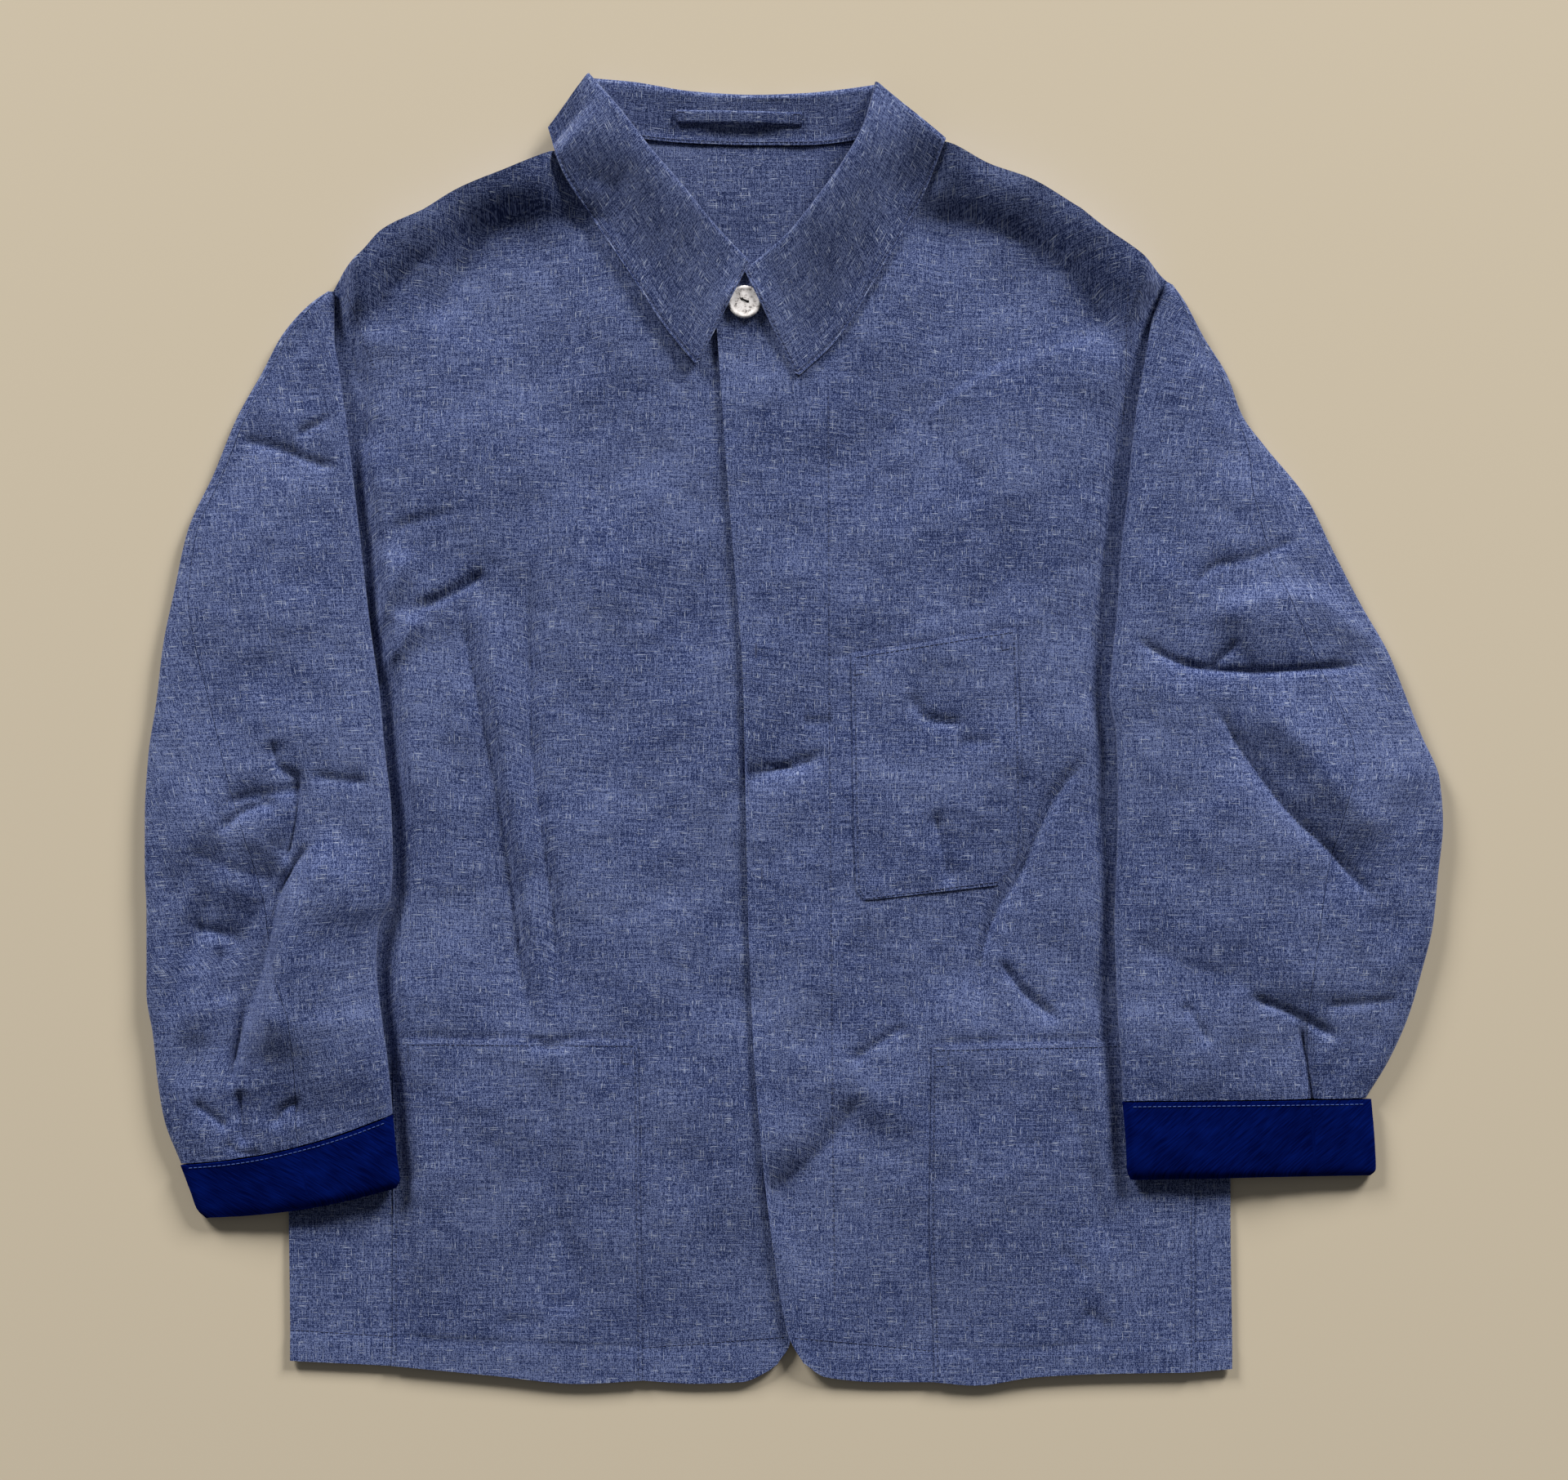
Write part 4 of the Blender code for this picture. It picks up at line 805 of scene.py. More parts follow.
def sleeve_grids(sections, rows, side, pocket, creases, thick):
    """Middle surfaces of a flattened sleeve, split at its lower seam and hind seam, and their grain."""
    table = resampled(np.array([(*inner, *outer, *sizes) for inner, outer, *sizes in sections], float), rows)
    inner, outer = table[:, 0:2], table[:, 2:4]
    bow, seam, inner_high, outer_high, puff = table[:, 4:].T[..., None]
    inner_high, outer_high = FOLD_GAIN * inner_high, FOLD_GAIN * outer_high
    width = np.linalg.norm(outer - inner, axis=1)[:, None]
    run = (outer - inner) / width
    facing = np.sign(run[:, :1])
    down = np.stack((run[:, 1], -run[:, 0]), axis=-1) * facing
    length = run_along((inner + outer) / 2.0)

    def place(f):
        spot = inner[:, None] + f[..., None] * (outer - inner)[:, None]
        spot = spot + (bow * 4.0 * f * (1.0 - f))[..., None] * down[:, None]
        return spot[..., 0], spot[..., 1]

    probe = np.tile(np.linspace(0.0, 1.0, PROBE_POINTS), (rows, 1))
    x, y = place(probe)
    beyond = (x - np.interp(y, *side)) * facing > 0
    leave = probe[0][np.argmax(beyond, axis=1)][:, None]

    def low(f):
        high = cover(*place(f), pocket)
        return high * (1.0 - ramp((f - leave) * width, SIDE_STEP, SIDE_RUN)) + thick / 2.0

    reach_in = np.minimum(FOLD_REACH / width, FOLD_LIMIT)
    reach_out = np.minimum(OUTER_FOLD * FOLD_REACH / width, FOLD_LIMIT)
    under = np.minimum(UNDER_SEAM / width, UNDER_LIMIT)
    gap = SEAM / 2.0 / width

    def high(f):
        g = np.clip((f - reach_in) / (1.0 - reach_in - reach_out), 0.0, 1.0)
        start, end = low(reach_in) + inner_high, low(1.0 - reach_out) + outer_high
        x, y = place(f)
        from_edge = np.minimum(g, 1.0 - g) * width
        relief = (creases_at(x, y, creases) + unevenness(x, y, SLEEVE_SEED)) * ramp(from_edge, 0.0, FOLD_FADE)
        level = start + (end - start) * g**PUFF_POWER + puff * (4.0 * g * (1.0 - g)) ** PUFF_POWER
        return np.maximum(level + relief, low(f) + thick + SEAM)

    turn = np.linspace(-pi / 2.0, pi / 2.0, TURN_POINTS + 2)[1:-1]

    def fold(edge, reach, rise):
        inward = 1.0 if edge == 0.0 else -1.0
        base = low(edge + inward * reach)
        return edge + inward * reach * (1.0 - np.cos(turn)), base + rise / 2.0 * (1.0 + np.sin(turn))

    def spread(start, end, count):
        return np.linspace(start[:, 0], end[:, 0], count, axis=1)

    flap = spread(under - gap, reach_in, FLAP_POINTS)
    upper = spread(reach_in, seam - gap, UPPER_POINTS)
    rest = spread(seam + gap, 1.0 - reach_out, REST_POINTS)
    edge = np.minimum(leave + SIDE_STEP / width, EDGE_LIMIT)
    floor = np.minimum(leave + (SIDE_STEP + SIDE_RUN) / width, FLOOR_LIMIT)
    floor = np.maximum(floor, edge + FLOOR_GAP)
    edge = np.maximum(edge, under + EDGE_GAP)
    lower = np.concatenate((
        spread(1.0 - reach_out, floor, LOW_POINTS[0]),
        spread(floor, edge, LOW_POINTS[1])[:, 1:],
        spread(edge, under + gap, LOW_POINTS[2])[:, 1:],
    ), axis=1)
    in_f, in_z = fold(0.0, reach_in, inner_high)
    out_f, out_z = fold(1.0, reach_out, outer_high)
    pieces = (
        ((flap, low(flap)), (in_f, in_z), (upper, high(upper))),
        ((rest, high(rest)), (out_f[:, ::-1], out_z[:, ::-1]), (lower, low(lower))),
    )
    made = []
    for parts in pieces:
        f = np.concatenate([part[0] for part in parts], axis=1)
        z = np.concatenate([part[1] for part in parts], axis=1)
        grid = np.stack((*place(f), z), axis=-1)
        grain = np.stack((run_across(grid), np.broadcast_to(-length[:, None], f.shape)), axis=-1)
        made.append((grid, grain))
    return made


def sleeve(name, sections, side, pocket, creases, material):
    """The two pieces of a sleeve."""
    grids = sleeve_grids(sections, SLEEVE_ROWS, side, pocket, creases, CLOTH)
    facing = facing_of(sections)
    return [
        sheet_of(f"{name}_{part}_cloth", *thickened(grid, -facing * CLOTH), grain, material)
        for part, (grid, grain) in zip(("top", "under"), grids)
    ]


def cuff(name, sections, side, pocket, material):
    """Cuff: one closed band, flattened like the sleeve's end."""
    (top, top_grain), (rest, rest_grain) = sleeve_grids(sections, CUFF_ROWS, side, pocket, (), CUFF_WALL)
    middle = np.concatenate((top[:, :-1], rest[:, :-1]), axis=1)
    grain = np.concatenate((top_grain[:, :-1], rest_grain[:, :-1]), axis=1)
    facing = facing_of(sections)
    outside, inside = thickened(middle, -facing * CUFF_WALL, closed=True)
    return make(name, *band(outside, inside), np.tile(grain.reshape(-1, 2), (2, 1)), material)


def ground(x, y):
    """Top of the fronts under the collar."""
    return lap_foot(x, y) + CLOTH


def fall_rows(sections):
    """Roll, outer edge, stand width and roll height of a collar fall, row by row, its tip rounded."""
    rows = resampled(np.array([(*roll, *edge, *sizes) for roll, edge, *sizes in sections], float), FALL_ROWS)
    roll, edge, stand, high = rows[:, 0:2], rows[:, 2:4], rows[:, 4:5], rows[:, 5:6]
    left = np.linalg.norm(edge - edge[-1], axis=1)
    bend = np.clip(1.0 - left / TIP_ROUND, 0.0, 1.0)
    cut = TIP_ROUND * (1.0 - np.sqrt(1.0 - bend**2))
    inward = (roll - edge) / np.linalg.norm(roll - edge, axis=1)[:, None]
    return roll, edge + inward * cut[:, None], stand, high


def fall(name, sections, material):
    """Front fall of the collar with its stand folded under at the roll."""
    roll, edge, stand, high = fall_rows(sections)
    width = np.linalg.norm(edge - roll, axis=1)[:, None]
    reach = ROLL_REACH / width
    share = stand / width

    def rest(f):
        spot = roll[:, None] + f[..., None] * (edge - roll)[:, None]
        x, y = spot[..., 0], spot[..., 1]
        return x, y, ground(x, y) + FALL_CLEAR + FALL_CLOTH / 2.0

    upper = 1.0 - (1.0 - reach) * np.linspace(0.0, 1.0, FALL_POINTS) ** FALL_CROWDING
    x, y, z = rest(upper)
    near = np.hypot(x - BUTTON_AT[0], y - BUTTON_AT[1])
    over_button = (BUTTON_THICK + BUTTON_CLEAR) * (1.0 - ramp(near, BUTTON_R, BUTTON_RUN))
    top = np.maximum(high, z[:, -1:] + FALL_CLOTH + FALL_CLEAR)
    drape = z[:, :1] + (top - z[:, :1]) * (1.0 - ramp(upper, FALL_START, FALL_RUN))
    sewn = GROOVE * np.exp(-((((1.0 - upper) * width - EDGE_SEWING) / GROOVE_WIDTH) ** 2))
    z = FALL_BLEND * np.logaddexp((z + over_button) / FALL_BLEND, drape / FALL_BLEND) - sewn
    z = z + np.maximum(creases_at(x, y, COLLAR_CREASES), -FALL_CLEAR)
    lower = np.linspace(reach[:, 0], share[:, 0], STAND_POINTS, axis=1)
    stand_x, stand_y, stand_z = rest(lower)
    angle = np.linspace(pi / 2.0, -pi / 2.0, ROLL_POINTS + 2)[1:-1]
    turn = reach * (1.0 - np.cos(angle))
    turn_x, turn_y, _ = rest(turn)
    top, base = z[:, -1:], stand_z[:, :1]
    turn_z = (top + base) / 2.0 + (top - base) / 2.0 * np.sin(angle)
    grid = np.concatenate((
        np.stack((x, y, z), axis=-1),
        np.stack((turn_x, turn_y, turn_z), axis=-1),
        np.stack((stand_x, stand_y, stand_z), axis=-1),
    ), axis=1)
    cross = run_across(grid)
    grain = np.stack((np.broadcast_to(run_along(roll)[:, None], cross.shape), cross), axis=-1)
    facing = facing_of(sections)
    return sheet_of(name, *thickened(grid, -facing * FALL_CLOTH), grain, material)


def band_tilt(y):
    """Rise of the collar's back band from the neck seam to the roll."""
    return BAND_TILT * np.clip((y - BAND_Y) / BAND_DEEP, 0.0, 1.0)


def collar_back(material):
    """Back of the collar: stand on top, roll at the far edge, fall underneath."""
    rows = resampled(np.array(COLLAR_BACK, float), BACK_BAND_ROWS)
    low = DOUBLE / 2.0
    high = COLLAR_LIFT + DOUBLE / 2.0
    radius = (high + BAND_TILT - low) / 2.0
    angle = np.linspace(pi / 2.0, -pi / 2.0, ROLL_POINTS + 2)[1:-1]
    rings = []
    for neck, roll, edge in rows:
        back = (edge - roll) / np.linalg.norm(edge - roll)
        hinge = roll + back * radius
        seam = neck + (roll - neck) / np.linalg.norm(roll - neck) * HAIRLINE
        stand = np.linspace(seam, hinge, BACK_BAND_POINTS)
        under = np.linspace(hinge, edge, BACK_BAND_POINTS)
        turn = hinge - back * radius * np.cos(angle)[:, None]
        rise = BAND_WAVE * ripple(stand[:, 0], stand[:, 1], BAND_SEED, BAND_WAVE_LENGTH)
        rise += NECK_RIDGE * (1.0 - ramp(np.linalg.norm(stand - seam, axis=1), 0.5, NECK_RIDGE_RUN))
        rings.append(np.concatenate((
            np.column_stack((stand, high + rise + band_tilt(stand[:, 1]))),
            np.column_stack((turn, low + radius * (1.0 + np.sin(angle)))),
            np.column_stack((under, np.full(BACK_BAND_POINTS, low))),
        )))
    rings = np.array(rings)
    grain = np.stack((rings[..., 0], run_across(rings)), axis=-1)
    return sheet_of("collar_back_cloth", *thickened(rings, DOUBLE), grain, material)


def hanger_loop(material):
    """Flat loop on the collar's stand, its ends sewn down and its middle a little proud."""
    start, end = (np.array(p) for p in LOOP_ENDS)
    shares, sides = np.meshgrid(np.linspace(0.0, 1.0, LOOP_SHAPE[0]), np.linspace(-0.5, 0.5, LOOP_SHAPE[1]))
    spot = start + shares[..., None] * (end - start) + np.stack((0 * sides, sides * LOOP_WIDTH), axis=-1)
    rise = LOOP_ARCH * ramp(shares, LOOP_FLAT, LOOP_RUN) * ramp(1.0 - shares, LOOP_FLAT, LOOP_RUN)
    rise = rise + COLLAR_LIFT + DOUBLE + SEAM + band_tilt(spot[..., 1])
    foot = at_height(spot, rise)
    top = foot + np.array((0.0, 0.0, LOOP_THICK))
    top[..., 2] -= LOOP_EDGE * np.abs(2.0 * sides) ** LOOP_EDGE_POWER
    return sheet_of("hanger_loop_cloth", top, foot, spot[..., ::-1], material)


def node(tree, kind, inputs, **settings):
    """Add a shader node, with its settings and with its inputs set or linked."""
    made = tree.nodes.new("ShaderNode" + kind)
    for key, value in settings.items():
        setattr(made, key, value)
    for key, value in inputs.items():
        if isinstance(value, bpy.types.NodeSocket):
            tree.links.new(value, made.inputs[key])
        else:
            made.inputs[key].default_value = value
    return made


def blank(name, **values):
    """Material with a Principled shader whose even values are set on its own sockets."""
    material = bpy.data.materials.new(name)
    material.use_nodes = True
    shader = material.node_tree.nodes["Principled BSDF"]
    for key, value in values.items():
        shader.inputs[key.replace("_", " ")].default_value = value
    return material, material.node_tree, shader


def threads(tree, spot, width, length, shift, detail=2.0):
    """Noise drawn out into threads: width across and length along, in millimetres of cloth."""
    scale = (1.0 / (width * MM), 1.0 / (length * MM), 1.0)
    moved = node(tree, "Mapping", {"Vector": spot, "Location": (shift, shift * 0.7, 0.0), "Scale": scale})
    vector = moved.outputs["Vector"]
    made = node(tree, "TexNoise", {"Vector": vector, "Scale": 1.0, "Detail": detail}, noise_dimensions="2D")
    return made.outputs[0]


def arithmetic(tree, operation, *values):
    """One step of arithmetic on sockets or numbers."""
    return node(tree, "Math", dict(enumerate(values)), operation=operation).outputs[0]


def ramp_of(tree, value, stops):
    """Colours along a value."""
    made = node(tree, "ValToRGB", {"Fac": value})
    elements = made.color_ramp.elements
    while len(elements) < len(stops):
        elements.new(0.5)
    for element, (place, colour) in zip(elements, stops):
        element.position = place
        element.color = (*colour, 1.0)
    return made.outputs["Color"]


def surface(tree, shader, colour, height, strength, distance):
    """Give a shader a colour and a bump; the distance is in metres."""
    tree.links.new(colour, shader.inputs["Base Color"])
    bump = node(tree, "Bump", {"Height": height, "Strength": strength, "Distance": distance})
    tree.links.new(bump.outputs["Normal"], shader.inputs["Normal"])


def linen(name, tone):
    """Chambray linen: indigo and pale threads, uneven in both directions, with a few white slubs."""
    threads_used = (LINEN_DARK, LINEN_MIDDLE, LINEN_PALE)
    # A tone below 1 darkens every thread colour; the darker copy of the linen is painted shade.
    dark, middle, pale = (tuple(tone * c for c in colour) for colour in threads_used)
    material, tree, shader = blank(
        name, Roughness=0.9, Specular_IOR_Level=0.12, Sheen_Weight=0.18, Sheen_Roughness=0.5,
        Sheen_Tint=(0.62, 0.68, 0.9, 1.0),
    )
    spot = node(tree, "UVMap", {}, uv_map="grain").outputs[0]
    layers = (
        # width, length, shift, detail and weight of each layer of threads
        (0.42, 2.2, 3.1, 1.0, 1.0),
        (2.0, 0.42, 7.7, 1.0, 0.75),
        (0.5, 0.5, 1.9, 0.0, 0.75),
        (0.55, 18.0, 9.4, 1.0, 0.6),
        (26.0, 0.55, 6.2, 1.0, 0.6),
        (80.0, 55.0, 5.3, 2.0, 0.26),
    )
    shade = 0.5
    for width, length, shift, detail, weight in layers:
        swing = arithmetic(tree, "SUBTRACT", threads(tree, spot, width, length, shift, detail), 0.5)
        shade = arithmetic(tree, "MULTIPLY_ADD", swing, weight, shade)
    colour = ramp_of(tree, shade, ((0.34, dark), (0.5, middle), (0.66, pale)))
    upright = threads(tree, spot, 0.6, 7.0, 12.3, 0.0)
    level = threads(tree, spot, 9.0, 0.55, 17.9, 0.0)
    slub = arithmetic(tree, "MAXIMUM", upright, level)
    fleck = node(tree, "MapRange", {"Value": slub, "From Min": 0.785, "From Max": 0.86}).outputs[0]
    mixed = node(tree, "Mix", {"Factor": fleck, "A": colour, "B": (*LINEN_SLUB, 1.0)}, data_type="RGBA")
    surface(tree, shader, mixed.outputs["Result"], shade, 0.35, 0.0004)
    return material


def twill():
    """Deep indigo twill with a faint diagonal rib."""
    material, tree, shader = blank("indigo_twill", Roughness=0.95, Specular_IOR_Level=0.01)
    spot = node(tree, "UVMap", {}, uv_map="grain").outputs[0]
    turned = node(tree, "Mapping", {"Vector": spot, "Rotation": (0.0, 0.0, 0.9)}).outputs[0]
    rib = threads(tree, turned, 0.8, 14.0, 2.2)
    cloud = threads(tree, spot, 24.0, 12.0, 4.4)
    shade = arithmetic(tree, "MULTIPLY_ADD", arithmetic(tree, "SUBTRACT", cloud, 0.5), 0.3, rib)
    colour = ramp_of(tree, shade, ((0.3, (0.0004, 0.003, 0.05)), (0.75, (0.0012, 0.009, 0.12))))
    surface(tree, shader, colour, rib, 0.3, 0.0003)
    return material


def button_shell():
    """Silver white button with a worn, mottled grain."""
    material, tree, shader = blank("mottled_button", Roughness=0.38, Specular_IOR_Level=0.5)
    spot = node(tree, "TexCoord", {}).outputs["Object"]
    inputs = {"Vector": spot, "Scale": 420.0, "Detail": 6.0, "Roughness": 0.7}
    mottle = node(tree, "TexNoise", inputs).outputs[0]
    colour = ramp_of(tree, mottle, (
        (0.36, (0.08, 0.075, 0.078)), (0.44, (0.74, 0.69, 0.67)), (0.56, (0.96, 0.92, 0.91)),
    ))
    surface(tree, shader, colour, mottle, 0.5, 0.0003)
    return material


def thread(name, colour):
    """Sewing thread: one colour with the slight unevenness of its twist."""
    material, tree, shader = blank(name, Roughness=0.7, Specular_IOR_Level=0.25)
    spot = node(tree, "TexCoord", {}).outputs["Object"]
    twist = node(tree, "TexNoise", {"Vector": spot, "Scale": 900.0, "Detail": 1.0}).outputs[0]
    dark = tuple(0.6 * c for c in colour)
    tree.links.new(ramp_of(tree, twist, ((0.35, dark), (0.65, colour))), shader.inputs["Base Color"])
    return material


def bead(length, width, height):
    """Rounded stitch along X with its base on the cloth: points and faces."""
    sides = 6
    rings = ((-0.5, 0.3), (-0.3, 1.0), (0.3, 1.0), (0.5, 0.3))
    turn = np.arange(sides) * 2.0 * pi / sides
    points = [
        (place * length, size * width / 2.0 * cos(a), size * height / 2.0 * sin(a) + height * 0.2)
        for place, size in rings
        for a in turn
    ]
    last = sides * (len(rings) - 1)
    caps = np.array(((0, 5, 2, 1), (5, 4, 3, 2), (1, 2, 5, 0), (2, 3, 4, 5)))
    caps[2:] += last
    return np.array(points), np.concatenate((grid_quads(len(rings), sides, closed=True), caps))


def stitches(name, carrier, runs, material, pitch=3.0, length=2.3, width=0.55, height=0.5):
    """Rows of stitches on a piece, each laid along its row and on the cloth under it."""
    unit, faces = bead(length, width, height)
    depsgraph = bpy.context.evaluated_depsgraph_get()
    places = []
    for run in runs:
        run = np.asarray(run, float)
        total = np.linalg.norm(np.diff(run, axis=0), axis=1).sum()
        line = along(run, max(int(round(total / pitch)), 1))
        for a, b in zip(line, line[1:]):
            spot = (a + b) / 2.0
            start = Vector((*spot, STITCH_FROM)) * MM
            hit, at, normal, _ = carrier.ray_cast(start, Vector((0.0, 0.0, -1.0)), depsgraph=depsgraph)
            if hit:
                ahead = Vector((*(b - a), 0.0))
                side = normal.cross(ahead).normalized()
                places.append((np.array(at) / MM, np.array((side.cross(normal), side, normal))))
    centres = np.array([place[0] for place in places])
    frames = np.array([place[1] for place in places])
    points = (centres[:, None] + np.einsum("pk,nkc->npc", unit, frames)).reshape(-1, 3)
    quads = (np.arange(len(places))[:, None, None] * len(unit) + faces).reshape(-1, 4)
    return make(name, points, quads, points[:, :2], material)


def solid(name, shape):
    """Object made from a bmesh, which is freed."""
    mesh = bpy.data.meshes.new(name)
    shape.to_mesh(mesh)
    shape.free()
    made = bpy.data.objects.new(name, mesh)
    bpy.context.scene.collection.objects.link(made)
    return made


def button_blank():
    """Disc of the button, turned from its profile, with a ribbed rim."""
    inside = BUTTON_THICK - BUTTON_RIM
    profile = (
        (0.0, 0.0), (BUTTON_R - 0.9, 0.0), (BUTTON_R - 0.2, 0.4), (BUTTON_R, 1.1),
        (BUTTON_R - 0.25, BUTTON_THICK - 0.5), (BUTTON_R - 0.8, BUTTON_THICK - 0.1),
        (BUTTON_R - 1.6, BUTTON_THICK), (BUTTON_R - 2.4, BUTTON_THICK - 0.3),
        (BUTTON_R - 3.4, inside), (BUTTON_R - 5.0, inside - 0.05), (0.0, inside),
    )
    shape = bmesh.new()
    loops = []
    for radius, z in profile:
        if radius == 0.0:
            loops.append([shape.verts.new((0.0, 0.0, z))])
            continue
        ring = []
        for k in range(BUTTON_SEGMENTS):
            a = 2.0 * pi * k / BUTTON_SEGMENTS
            rib = BUTTON_RIB * cos(BUTTON_RIBS * a) if radius > BUTTON_R - BUTTON_RIB_BAND else 0.0
            ring.append(shape.verts.new(((radius + rib) * cos(a), (radius + rib) * sin(a), z)))
        loops.append(ring)
    for a, b in zip(loops, loops[1:]):
        for k in range(BUTTON_SEGMENTS):
            n = (k + 1) % BUTTON_SEGMENTS
            corners = [a[k % len(a)], a[n % len(a)], b[n % len(b)], b[k % len(b)]]
            shape.faces.new(list(dict.fromkeys(corners)))
    return solid("button_shell", shape)


def button(material):
    """Round button with two holes, and the height of its thread."""
    piece = button_blank()
    drills = []
    for k, place in enumerate(BUTTON_HOLES):
        shape = bmesh.new()
        bmesh.ops.create_cone(
            shape, cap_ends=True, segments=DRILL_SEGMENTS,
            radius1=BUTTON_HOLE_R, radius2=BUTTON_HOLE_R, depth=DRILL_DEPTH,
        )
        drill = solid(f"drill_{k}", shape)
        drill.location = (*place, 0.0)
        cut = piece.modifiers.new(f"hole_{k}", "BOOLEAN")
        cut.operation = "DIFFERENCE"
        cut.solver = "EXACT"
        cut.object = drill
        drills.append(drill)
    bpy.context.view_layer.update()
    done = bpy.data.meshes.new_from_object(piece.evaluated_get(bpy.context.evaluated_depsgraph_get()))
    for drill in drills:
        bpy.data.objects.remove(drill)
    piece.modifiers.clear()
    x, y = (np.array((v,)) for v in BUTTON_AT)
    foot = float(ground(x, y)[0]) + BUTTON_CLEAR
    for point in done.vertices:
        point.co = (point.co + Vector((*BUTTON_AT, foot))) * MM
    done.materials.clear()
    done.materials.append(material)
    done.shade_smooth()
    done.set_sharp_from_angle(angle=BUTTON_SHARP)
    piece.data = done
    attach(piece, "root")
    return piece, foot + BUTTON_THICK - BUTTON_RIM


def button_thread(level, material):
    """Thread that runs from one hole of the button to the other."""
    start, end = (np.array(hole) for hole in BUTTON_HOLES)
    span = float(np.linalg.norm(end - start))
    unit, faces = bead(span + 2.0 * BUTTON_HOLE_R, 1.1, 0.7)
    ahead = (end - start) / span
    turn = np.array(((ahead[0], ahead[1], 0.0), (-ahead[1], ahead[0], 0.0), (0.0, 0.0, 1.0)))
    middle = np.array((*(np.array(BUTTON_AT) + (start + end) / 2.0), level))
    points = middle + unit @ turn
    return make("button_thread", points, faces, points[:, :2], material)


def dress(piece, *sewing, slot="linen"):
    """Hide the solid that a piece of cloth stands for. The sewing and the slot are not used."""
    stands_for = piece.name.removesuffix("_cloth")
    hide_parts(stands_for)


def inset(path, toward, distance):
    """Path moved sideways towards another path by a distance."""
    path, toward = np.asarray(path, float), np.asarray(toward, float)
    step = toward - path
    return path + step / np.linalg.norm(step, axis=-1, keepdims=True) * distance


def fall_sewing(sections):
    """Topstitching of a collar fall: along its outer edge, then up its front edge."""
    roll, edge, *_ = fall_rows(sections)
    outer = inset(edge, roll, EDGE_SEWING)
    return [outer[2:-2], np.linspace(outer[-2], roll[-2], FRONT_SEWING_POINTS)]


def cuff_sewing(sections):
    """Topstitching just below the top edge of a cuff."""
    (inner, outer, bow, *_), (inner_low, outer_low, *_) = sections[:2]
    share = CUFF_SEWING / np.linalg.norm(np.subtract(inner_low, inner))
    sides = ((inner, inner_low), (outer, outer_low))
    start, end = (np.array(a) + share * np.subtract(b, a) for a, b in sides)
    f = np.linspace(*CUFF_SEWN, CUFF_SEWING_POINTS)[:, None]
    line = start + f * (end - start)
    line[:, 1] -= bow * (4.0 * f * (1.0 - f))[:, 0]
    return [line]


def pocket_sewing(grid):
    """Sewing of a pocket: both sides, a line under its top edge and a box at each top corner."""
    inward = np.array((POCKET_SEWING, 0.0))
    west, east = grid[:, 0] + inward, grid[:, -1] - inward
    box = int(round(CORNER_BOX / MESH_STEP))
    top, foot = grid[-2], grid[-2 - box]
    boxes = [foot[1:box], foot[-1 - box:-2], grid[-2 - box:-1, box], grid[-2 - box:-1, -1 - box]]
    return [west[:-2], east[:-2], top[1:-1], *boxes]


def loop_sewing():
    """Small square of stitches at each end of the hanger loop."""
    runs = []
    for (x, y), way in zip(LOOP_ENDS, (1.0, -1.0)):
        near, far = x + way * LOOP_INSET, x + way * LOOP_TACK
        low, high = y - LOOP_WIDTH / 2.0 + LOOP_SEWING, y + LOOP_WIDTH / 2.0 - LOOP_SEWING
        corners = ((near, low), (far, low), (far, high), (near, high), (near, low))
        runs.extend(np.linspace(a, b, 4) for a, b in zip(corners, corners[1:]))
    return runs


def front(side, panel, foot_of, more_rows, cloth, sewing):
    """Front panel of one side and its lower pocket, with their sewing."""
    plan, rows, lines = panel_plan(*panel, MESH_STEP)
    plan = with_upright_top(plan)
    top, foot = raised(plan, foot_of, CLOTH)
    lay_top(top, foot)
    top[: rows["hem line"], :, 2] += HEM_RISE
    piece = sheet_of(f"front_{side}_cloth", top, foot, body_grain(top), cloth)
    first, last = sorted((lines["inner"], lines["outer"]))
    grid = top[: rows["pocket top"] + 1, first: last + 1]
    pocket = patch(f"pocket_{side}_cloth", grid, cloth)
    hem = plan[rows["hem line"]]
    hem = hem[2:] if lines["edge"] == 0 else hem[:-2]
    sewn = [stitches(f"hem_stitches_{side}", piece, [hem], sewing)]
    sewn_pocket = stitches(f"pocket_stitches_{side}", pocket, pocket_sewing(grid[..., :2]), sewing)
    sewn += [stitches(name, piece, runs, sewing, **size) for name, runs, size in more_rows]
    dress(piece, *sewn)
    dress(pocket, sewn_pocket)


def build_fronts(cloth, sewing):
    """Both front panels with their lower pockets, and the chest pocket."""
    panel = (FRONT_RIGHT_ROWS, FRONT_RIGHT_LINES, FRONT_RIGHT_BENDS)
    front("right", panel, front_foot, [("armhole_stitches_right", [RIGHT_ARMHOLE], {})], cloth, sewing)
    panel = (FRONT_LEFT_ROWS, FRONT_LEFT_LINES, FRONT_LEFT_BENDS)
    more_rows = [("front_stitches_left", [FLY, LEFT_ARMHOLE], {}), ("bartacks", BARTACKS, BARTACK_SIZE)]
    front("left", panel, lap_foot, more_rows, cloth, sewing)

    up = np.linspace(0.0, 1.0, CHEST_SHAPE[0])
    west, east = (through(CHEST_MARKS, edge, up) for edge in (CHEST_INNER, CHEST_OUTER))
    plan = np.linspace(west, east, CHEST_SHAPE[1], axis=1)
    chest = patch("pocket_chest_cloth", at_height(plan, ground(plan[..., 0], plan[..., 1])), cloth)
    runs = [*pocket_sewing(plan), plan[1, 1:-1]]
    dress(chest, stitches("pocket_stitches_chest", chest, runs, sewing))


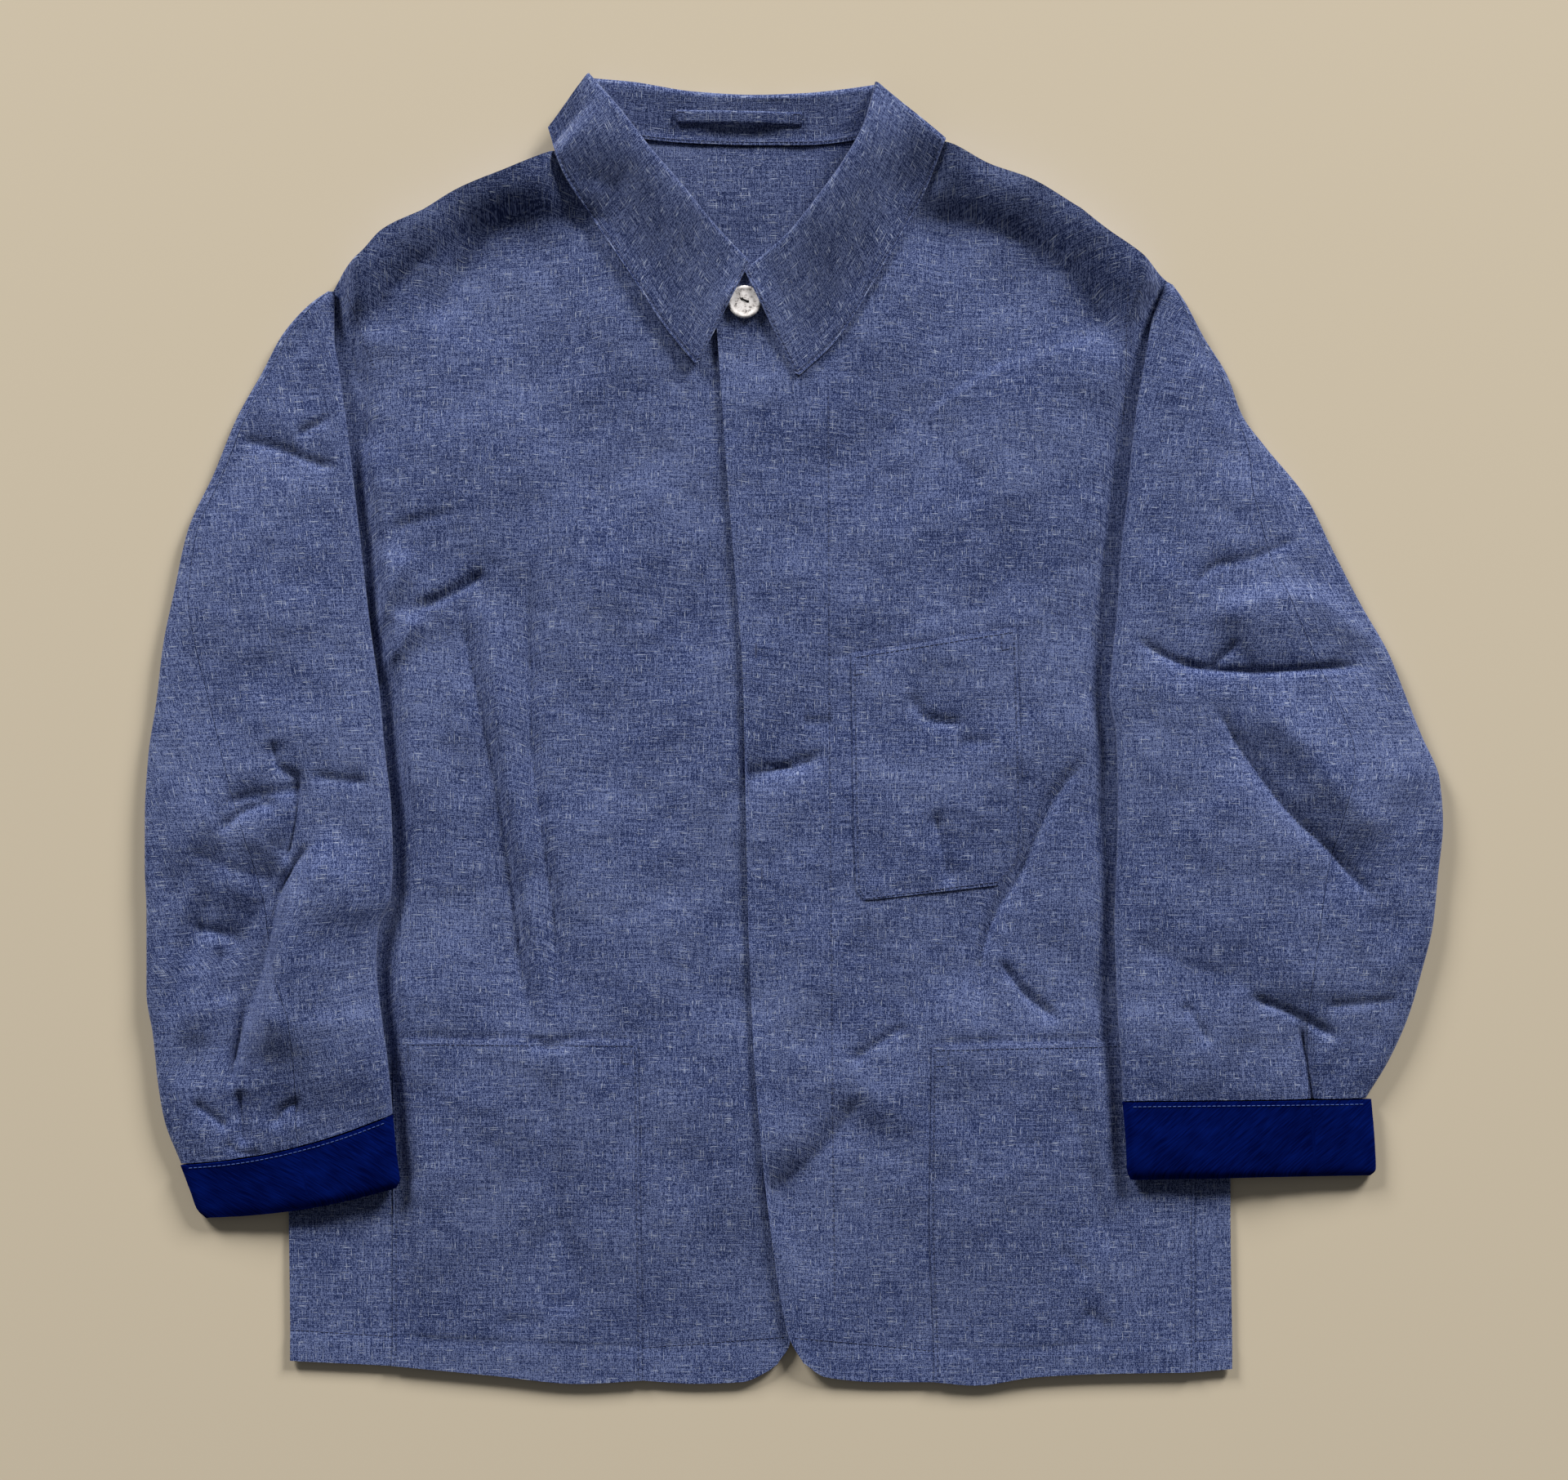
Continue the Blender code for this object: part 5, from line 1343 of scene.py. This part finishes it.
def build_sleeves(cloth):
    """Both sleeves and their cuffs."""
    for side, sections, _, *under, creases in SLEEVES:
        for piece in sleeve(f"sleeve_{side}", sections, *under, creases, cloth):
            dress(piece)
    cuff_cloth = twill()
    sewing = thread("blue_thread", (0.06, 0.11, 0.34))
    cuffs = [cuff(f"cuff_{side}_cloth", ends, *under, cuff_cloth) for side, _, ends, *under, _ in SLEEVES]
    for piece, (side, _, ends, *_) in zip(cuffs, SLEEVES):
        seam = stitches(f"cuff_stitches_{side}", piece, cuff_sewing(ends), sewing)
        dress(piece, seam, slot="indigo_twill")


def build_collar(cloth, sewing):
    """Back of the collar, hanger loop and both falls."""
    neck, loop = collar_back(cloth), hanger_loop(cloth)
    falls = [fall(f"collar_{side}_cloth", sections, cloth) for side, sections in FALLS]
    line = inset([row[0] for row in COLLAR_BACK], [row[1] for row in COLLAR_BACK], EDGE_SEWING)
    dress(neck, stitches("neck_stitches", neck, [line], sewing))
    dress(loop, stitches("loop_stitches", loop, loop_sewing(), sewing, **LOOP_STITCH_SIZE))
    for piece, (side, sections) in zip(falls, FALLS):
        dress(piece, stitches(f"collar_stitches_{side}", piece, fall_sewing(sections), sewing))


def build_jacket():
    """All pieces of the jacket, each on its own solid's place."""
    # The collar and the back panel get a darker copy of the linen: painted shade.
    cloth, shaded_cloth = linen("linen", 1.0), linen("painted_shade_linen", PAINTED_SHADE)
    sewing = thread("indigo_thread", (0.075, 0.095, 0.2))
    plan, _, _ = panel_plan(BACK_ROWS, BACK_LINES, BACK_BENDS, BACK_STEP)
    dress(sheet_of("back_cloth", *raised(plan, back_foot, CLOTH), plan, shaded_cloth))
    build_fronts(cloth, sewing)
    build_sleeves(cloth)
    build_collar(shaded_cloth, sewing)
    disc, level = button(button_shell())
    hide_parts("button")
    button_thread(level, thread("black_thread", (0.004, 0.004, 0.005)))


def add_light(name, place, target, size, watts, colour):
    """Soft rectangular lamp that looks at a point; places are in metres."""
    lamp = bpy.data.lights.new(name, "AREA")
    lamp.shape = "RECTANGLE"
    lamp.size, lamp.size_y = size
    lamp.energy = watts
    lamp.color = colour
    holder = bpy.data.objects.new(name, lamp)
    holder.location = place
    holder.rotation_euler = (Vector(target) - Vector(place)).to_track_quat("-Z", "Y").to_euler()
    bpy.context.scene.collection.objects.link(holder)


def build_stage():
    """Pale floor, soft lamps and the camera straight above."""
    scene = bpy.context.scene
    colour = (*FLOOR_COLOUR, 1.0)
    material, _, _ = blank("floor", Base_Color=colour, Roughness=0.75, Specular_IOR_Level=0.2)
    mesh = bpy.data.meshes.new("floor")
    corners = [(x * FLOOR_HALF, y * FLOOR_HALF, 0.0) for x, y in ((-1, -1), (1, -1), (1, 1), (-1, 1))]
    mesh.from_pydata(corners, [], [(0, 1, 2, 3)])
    mesh.materials.append(material)
    floor = bpy.data.objects.new("floor", mesh)
    floor.location = (0.0, 0.0, -FLOOR_DROP)
    scene.collection.objects.link(floor)

    for name, place, watts in LAMPS:
        add_light(name, place, (0.0, 0.0, 0.0), LAMP_SIZE, watts, LAMP_COLOUR)
    world = bpy.data.worlds.new("soft_room")
    world.use_nodes = True
    sky = world.node_tree.nodes["Background"]
    sky.inputs["Color"].default_value = (*SKY_COLOUR, 1.0)
    sky.inputs["Strength"].default_value = SKY_STRENGTH
    scene.world = world
    scene.view_settings.view_transform = "Standard"

    camera = bpy.data.cameras.new("camera")
    camera.sensor_fit = "HORIZONTAL"
    camera.sensor_width = SENSOR_WIDTH
    camera.lens = SENSOR_WIDTH * CAMERA_AT[2] / FRAME_WIDTH
    holder = bpy.data.objects.new("camera", camera)
    holder.location = Vector(CAMERA_AT) * MM
    scene.collection.objects.link(holder)
    scene.camera = holder


build_stage()
build_jacket()
